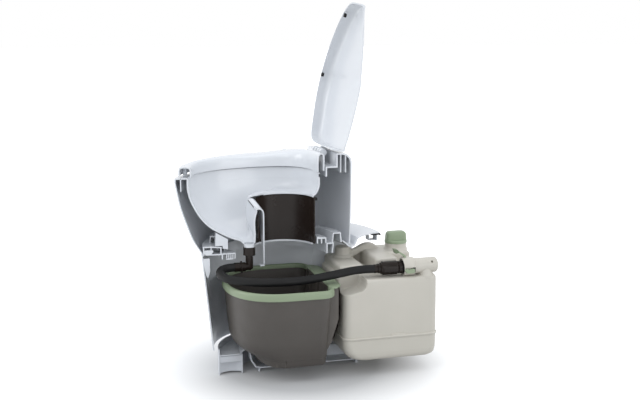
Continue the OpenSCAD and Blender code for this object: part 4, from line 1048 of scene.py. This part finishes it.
def make_cap():
    """Round skirt with an upright thumb bar."""
    half_length, half_width, shoulder, crown = 24.6, 13, 281, 9.0
    f = Form()
    f.cylinder((*CAP, 264.5), UP, [(0, 25.4), (4.6, 25.6), (5.8, 25.2), (6.6, 24), (6.6, 20)], 72)
    rows = [(269, 0.0), (272, 0.3), (shoulder, 1.0)]
    for i in range(1, 7):
        a = pi / 2 * i / 6
        rows.append((shoulder + crown * sin(a), 1 + 6.5 * (1 - cos(a))))
    loops = []
    for z, k in rows:
        x, y = half_length - k, half_width - k * 0.6
        plan = box_plan(CAP[0] - x, CAP[0] + x, CAP[1] - y, CAP[1] + y, 9 - k * 0.4)
        loops.append([flat(q, z) for q in plan])
    f.skin(loops)
    f.flush("cap_body", "green_plastic", "cap", ["canister_cap"], edge=0.6, sharp=38)


# Floor, world and lamps

FLOOR_HALF, FLOOR_GREY = 30.0, 0.56
# Metres from the origin where the floor's own light starts to rise and where it is full, and that light
# there; nearer in the floor is left grey, painted shade round the object besides the lamps' shadow
SHADOW_NEAR, SHADOW_FAR = 0.17, 0.5
GLOW_NEAR, GLOW_FAR = 0.02, 1.0
# Name, place, lit point, size and power of each soft light
LAMPS = [("key", (-1.6, -1.3, 2.6), (0, 0, 0.35), (1.8, 1.8), 15),
         ("fill", (2.1, -2.5, 0.9), (0, 0, 0.3), (2.4, 1.6), 20),
         ("top", (0.2, 0.6, 2.6), (0, 0, 0.3), (2.0, 1.4), 7),
         ("side", (-2.6, 0.3, 0.95), (0.1, 0.05, 0.6), (1.6, 1.2), 17)]


def seen_rays(tree):
    """1 on rays that show the backdrop itself: camera, glossy and transmission rays."""
    path = tree.nodes.new("ShaderNodeLightPath")
    out = path.outputs["Is Camera Ray"]
    for ray in ("Is Glossy Ray", "Is Transmission Ray"):
        larger = tree.nodes.new("ShaderNodeMath")
        larger.operation = "MAXIMUM"
        tree.links.new(out, larger.inputs[0])
        tree.links.new(path.outputs[ray], larger.inputs[1])
        out = larger.outputs[0]
    return out


def floor_material():
    """Pale floor that takes the lamps' soft shadow, is left greyer near the object as painted shade, and
    turns plain white further out.
    """
    material = bpy.data.materials.new("pale_floor")
    material.use_nodes = True
    tree = material.node_tree
    tree.nodes.clear()
    out = tree.nodes.new("ShaderNodeOutputMaterial")
    lit = add(tree, "ShaderNodeBsdfDiffuse", Color=(FLOOR_GREY, FLOOR_GREY, FLOOR_GREY, 1))
    glow = add(tree, "ShaderNodeEmission", Color=(1, 1, 1, 1))
    spot, far = tree.nodes.new("ShaderNodeTexCoord"), tree.nodes.new("ShaderNodeVectorMath")
    far.operation = "LENGTH"
    tree.links.new(spot.outputs["Object"], far.inputs[0])
    level = tree.nodes.new("ShaderNodeMath")
    level.operation = "MULTIPLY"
    tree.links.new(seen_rays(tree), level.inputs[0])
    fade = spread(tree, far.outputs["Value"], SHADOW_NEAR, SHADOW_FAR, GLOW_NEAR, GLOW_FAR)
    tree.links.new(fade, level.inputs[1])
    tree.links.new(level.outputs[0], glow.inputs["Strength"])
    both = tree.nodes.new("ShaderNodeAddShader")
    tree.links.new(lit.outputs[0], both.inputs[0])
    tree.links.new(glow.outputs[0], both.inputs[1])
    tree.links.new(both.outputs[0], out.inputs["Surface"])
    return material


def make_floor():
    s = FLOOR_HALF
    mesh = bpy.data.meshes.new("floor")
    mesh.from_pydata([(-s, -s, 0), (s, -s, 0), (s, s, 0), (-s, s, 0)], [], [(0, 1, 2, 3)])
    mesh.materials.append(floor_material())
    place("floor", mesh)


def make_world():
    """White to the camera and in reflections, and a little bluer as light."""
    world = bpy.data.worlds.new("studio")
    bpy.context.scene.world = world
    world.use_nodes = True
    tree = world.node_tree
    tree.nodes.clear()
    out = tree.nodes.new("ShaderNodeOutputWorld")
    pick = tree.nodes.new("ShaderNodeMixShader")
    light = add(tree, "ShaderNodeBackground", Color=(0.91, 0.95, 1, 1), Strength=1.0)
    white = add(tree, "ShaderNodeBackground", Color=(1, 1, 1, 1), Strength=1.0)
    tree.links.new(seen_rays(tree), pick.inputs[0])
    tree.links.new(light.outputs[0], pick.inputs[1])
    tree.links.new(white.outputs[0], pick.inputs[2])
    tree.links.new(pick.outputs[0], out.inputs["Surface"])


def make_lamp(name, spot, aim, size, watts):
    """Rectangular soft light in metres, turned to the point that it lights."""
    data = bpy.data.lights.new(name, "AREA")
    data.shape = "RECTANGLE"
    data.size, data.size_y = size
    data.energy = watts
    obj = place(name, data)
    obj.location = spot
    obj.rotation_euler = (Vector(aim) - Vector(spot)).to_track_quat("-Z", "Y").to_euler()


# The scene

make_camera()
dress_cad()
make_hose(make_plug())
make_upper_shell()
make_bowl()
make_bowl_fittings()
make_crest_slit_shade()
make_screen()
make_chute_trim()
make_seat()
make_lid()
make_section_ribs()
make_tray_front()
make_inlet()
make_sleeve()
make_latches()
make_bin()
make_grip()
make_rim()
make_canister()
make_seam()
make_cap()

bpy.context.scene.view_settings.view_transform = "Standard"
make_floor()
make_world()
for row in LAMPS:
    make_lamp(*row)
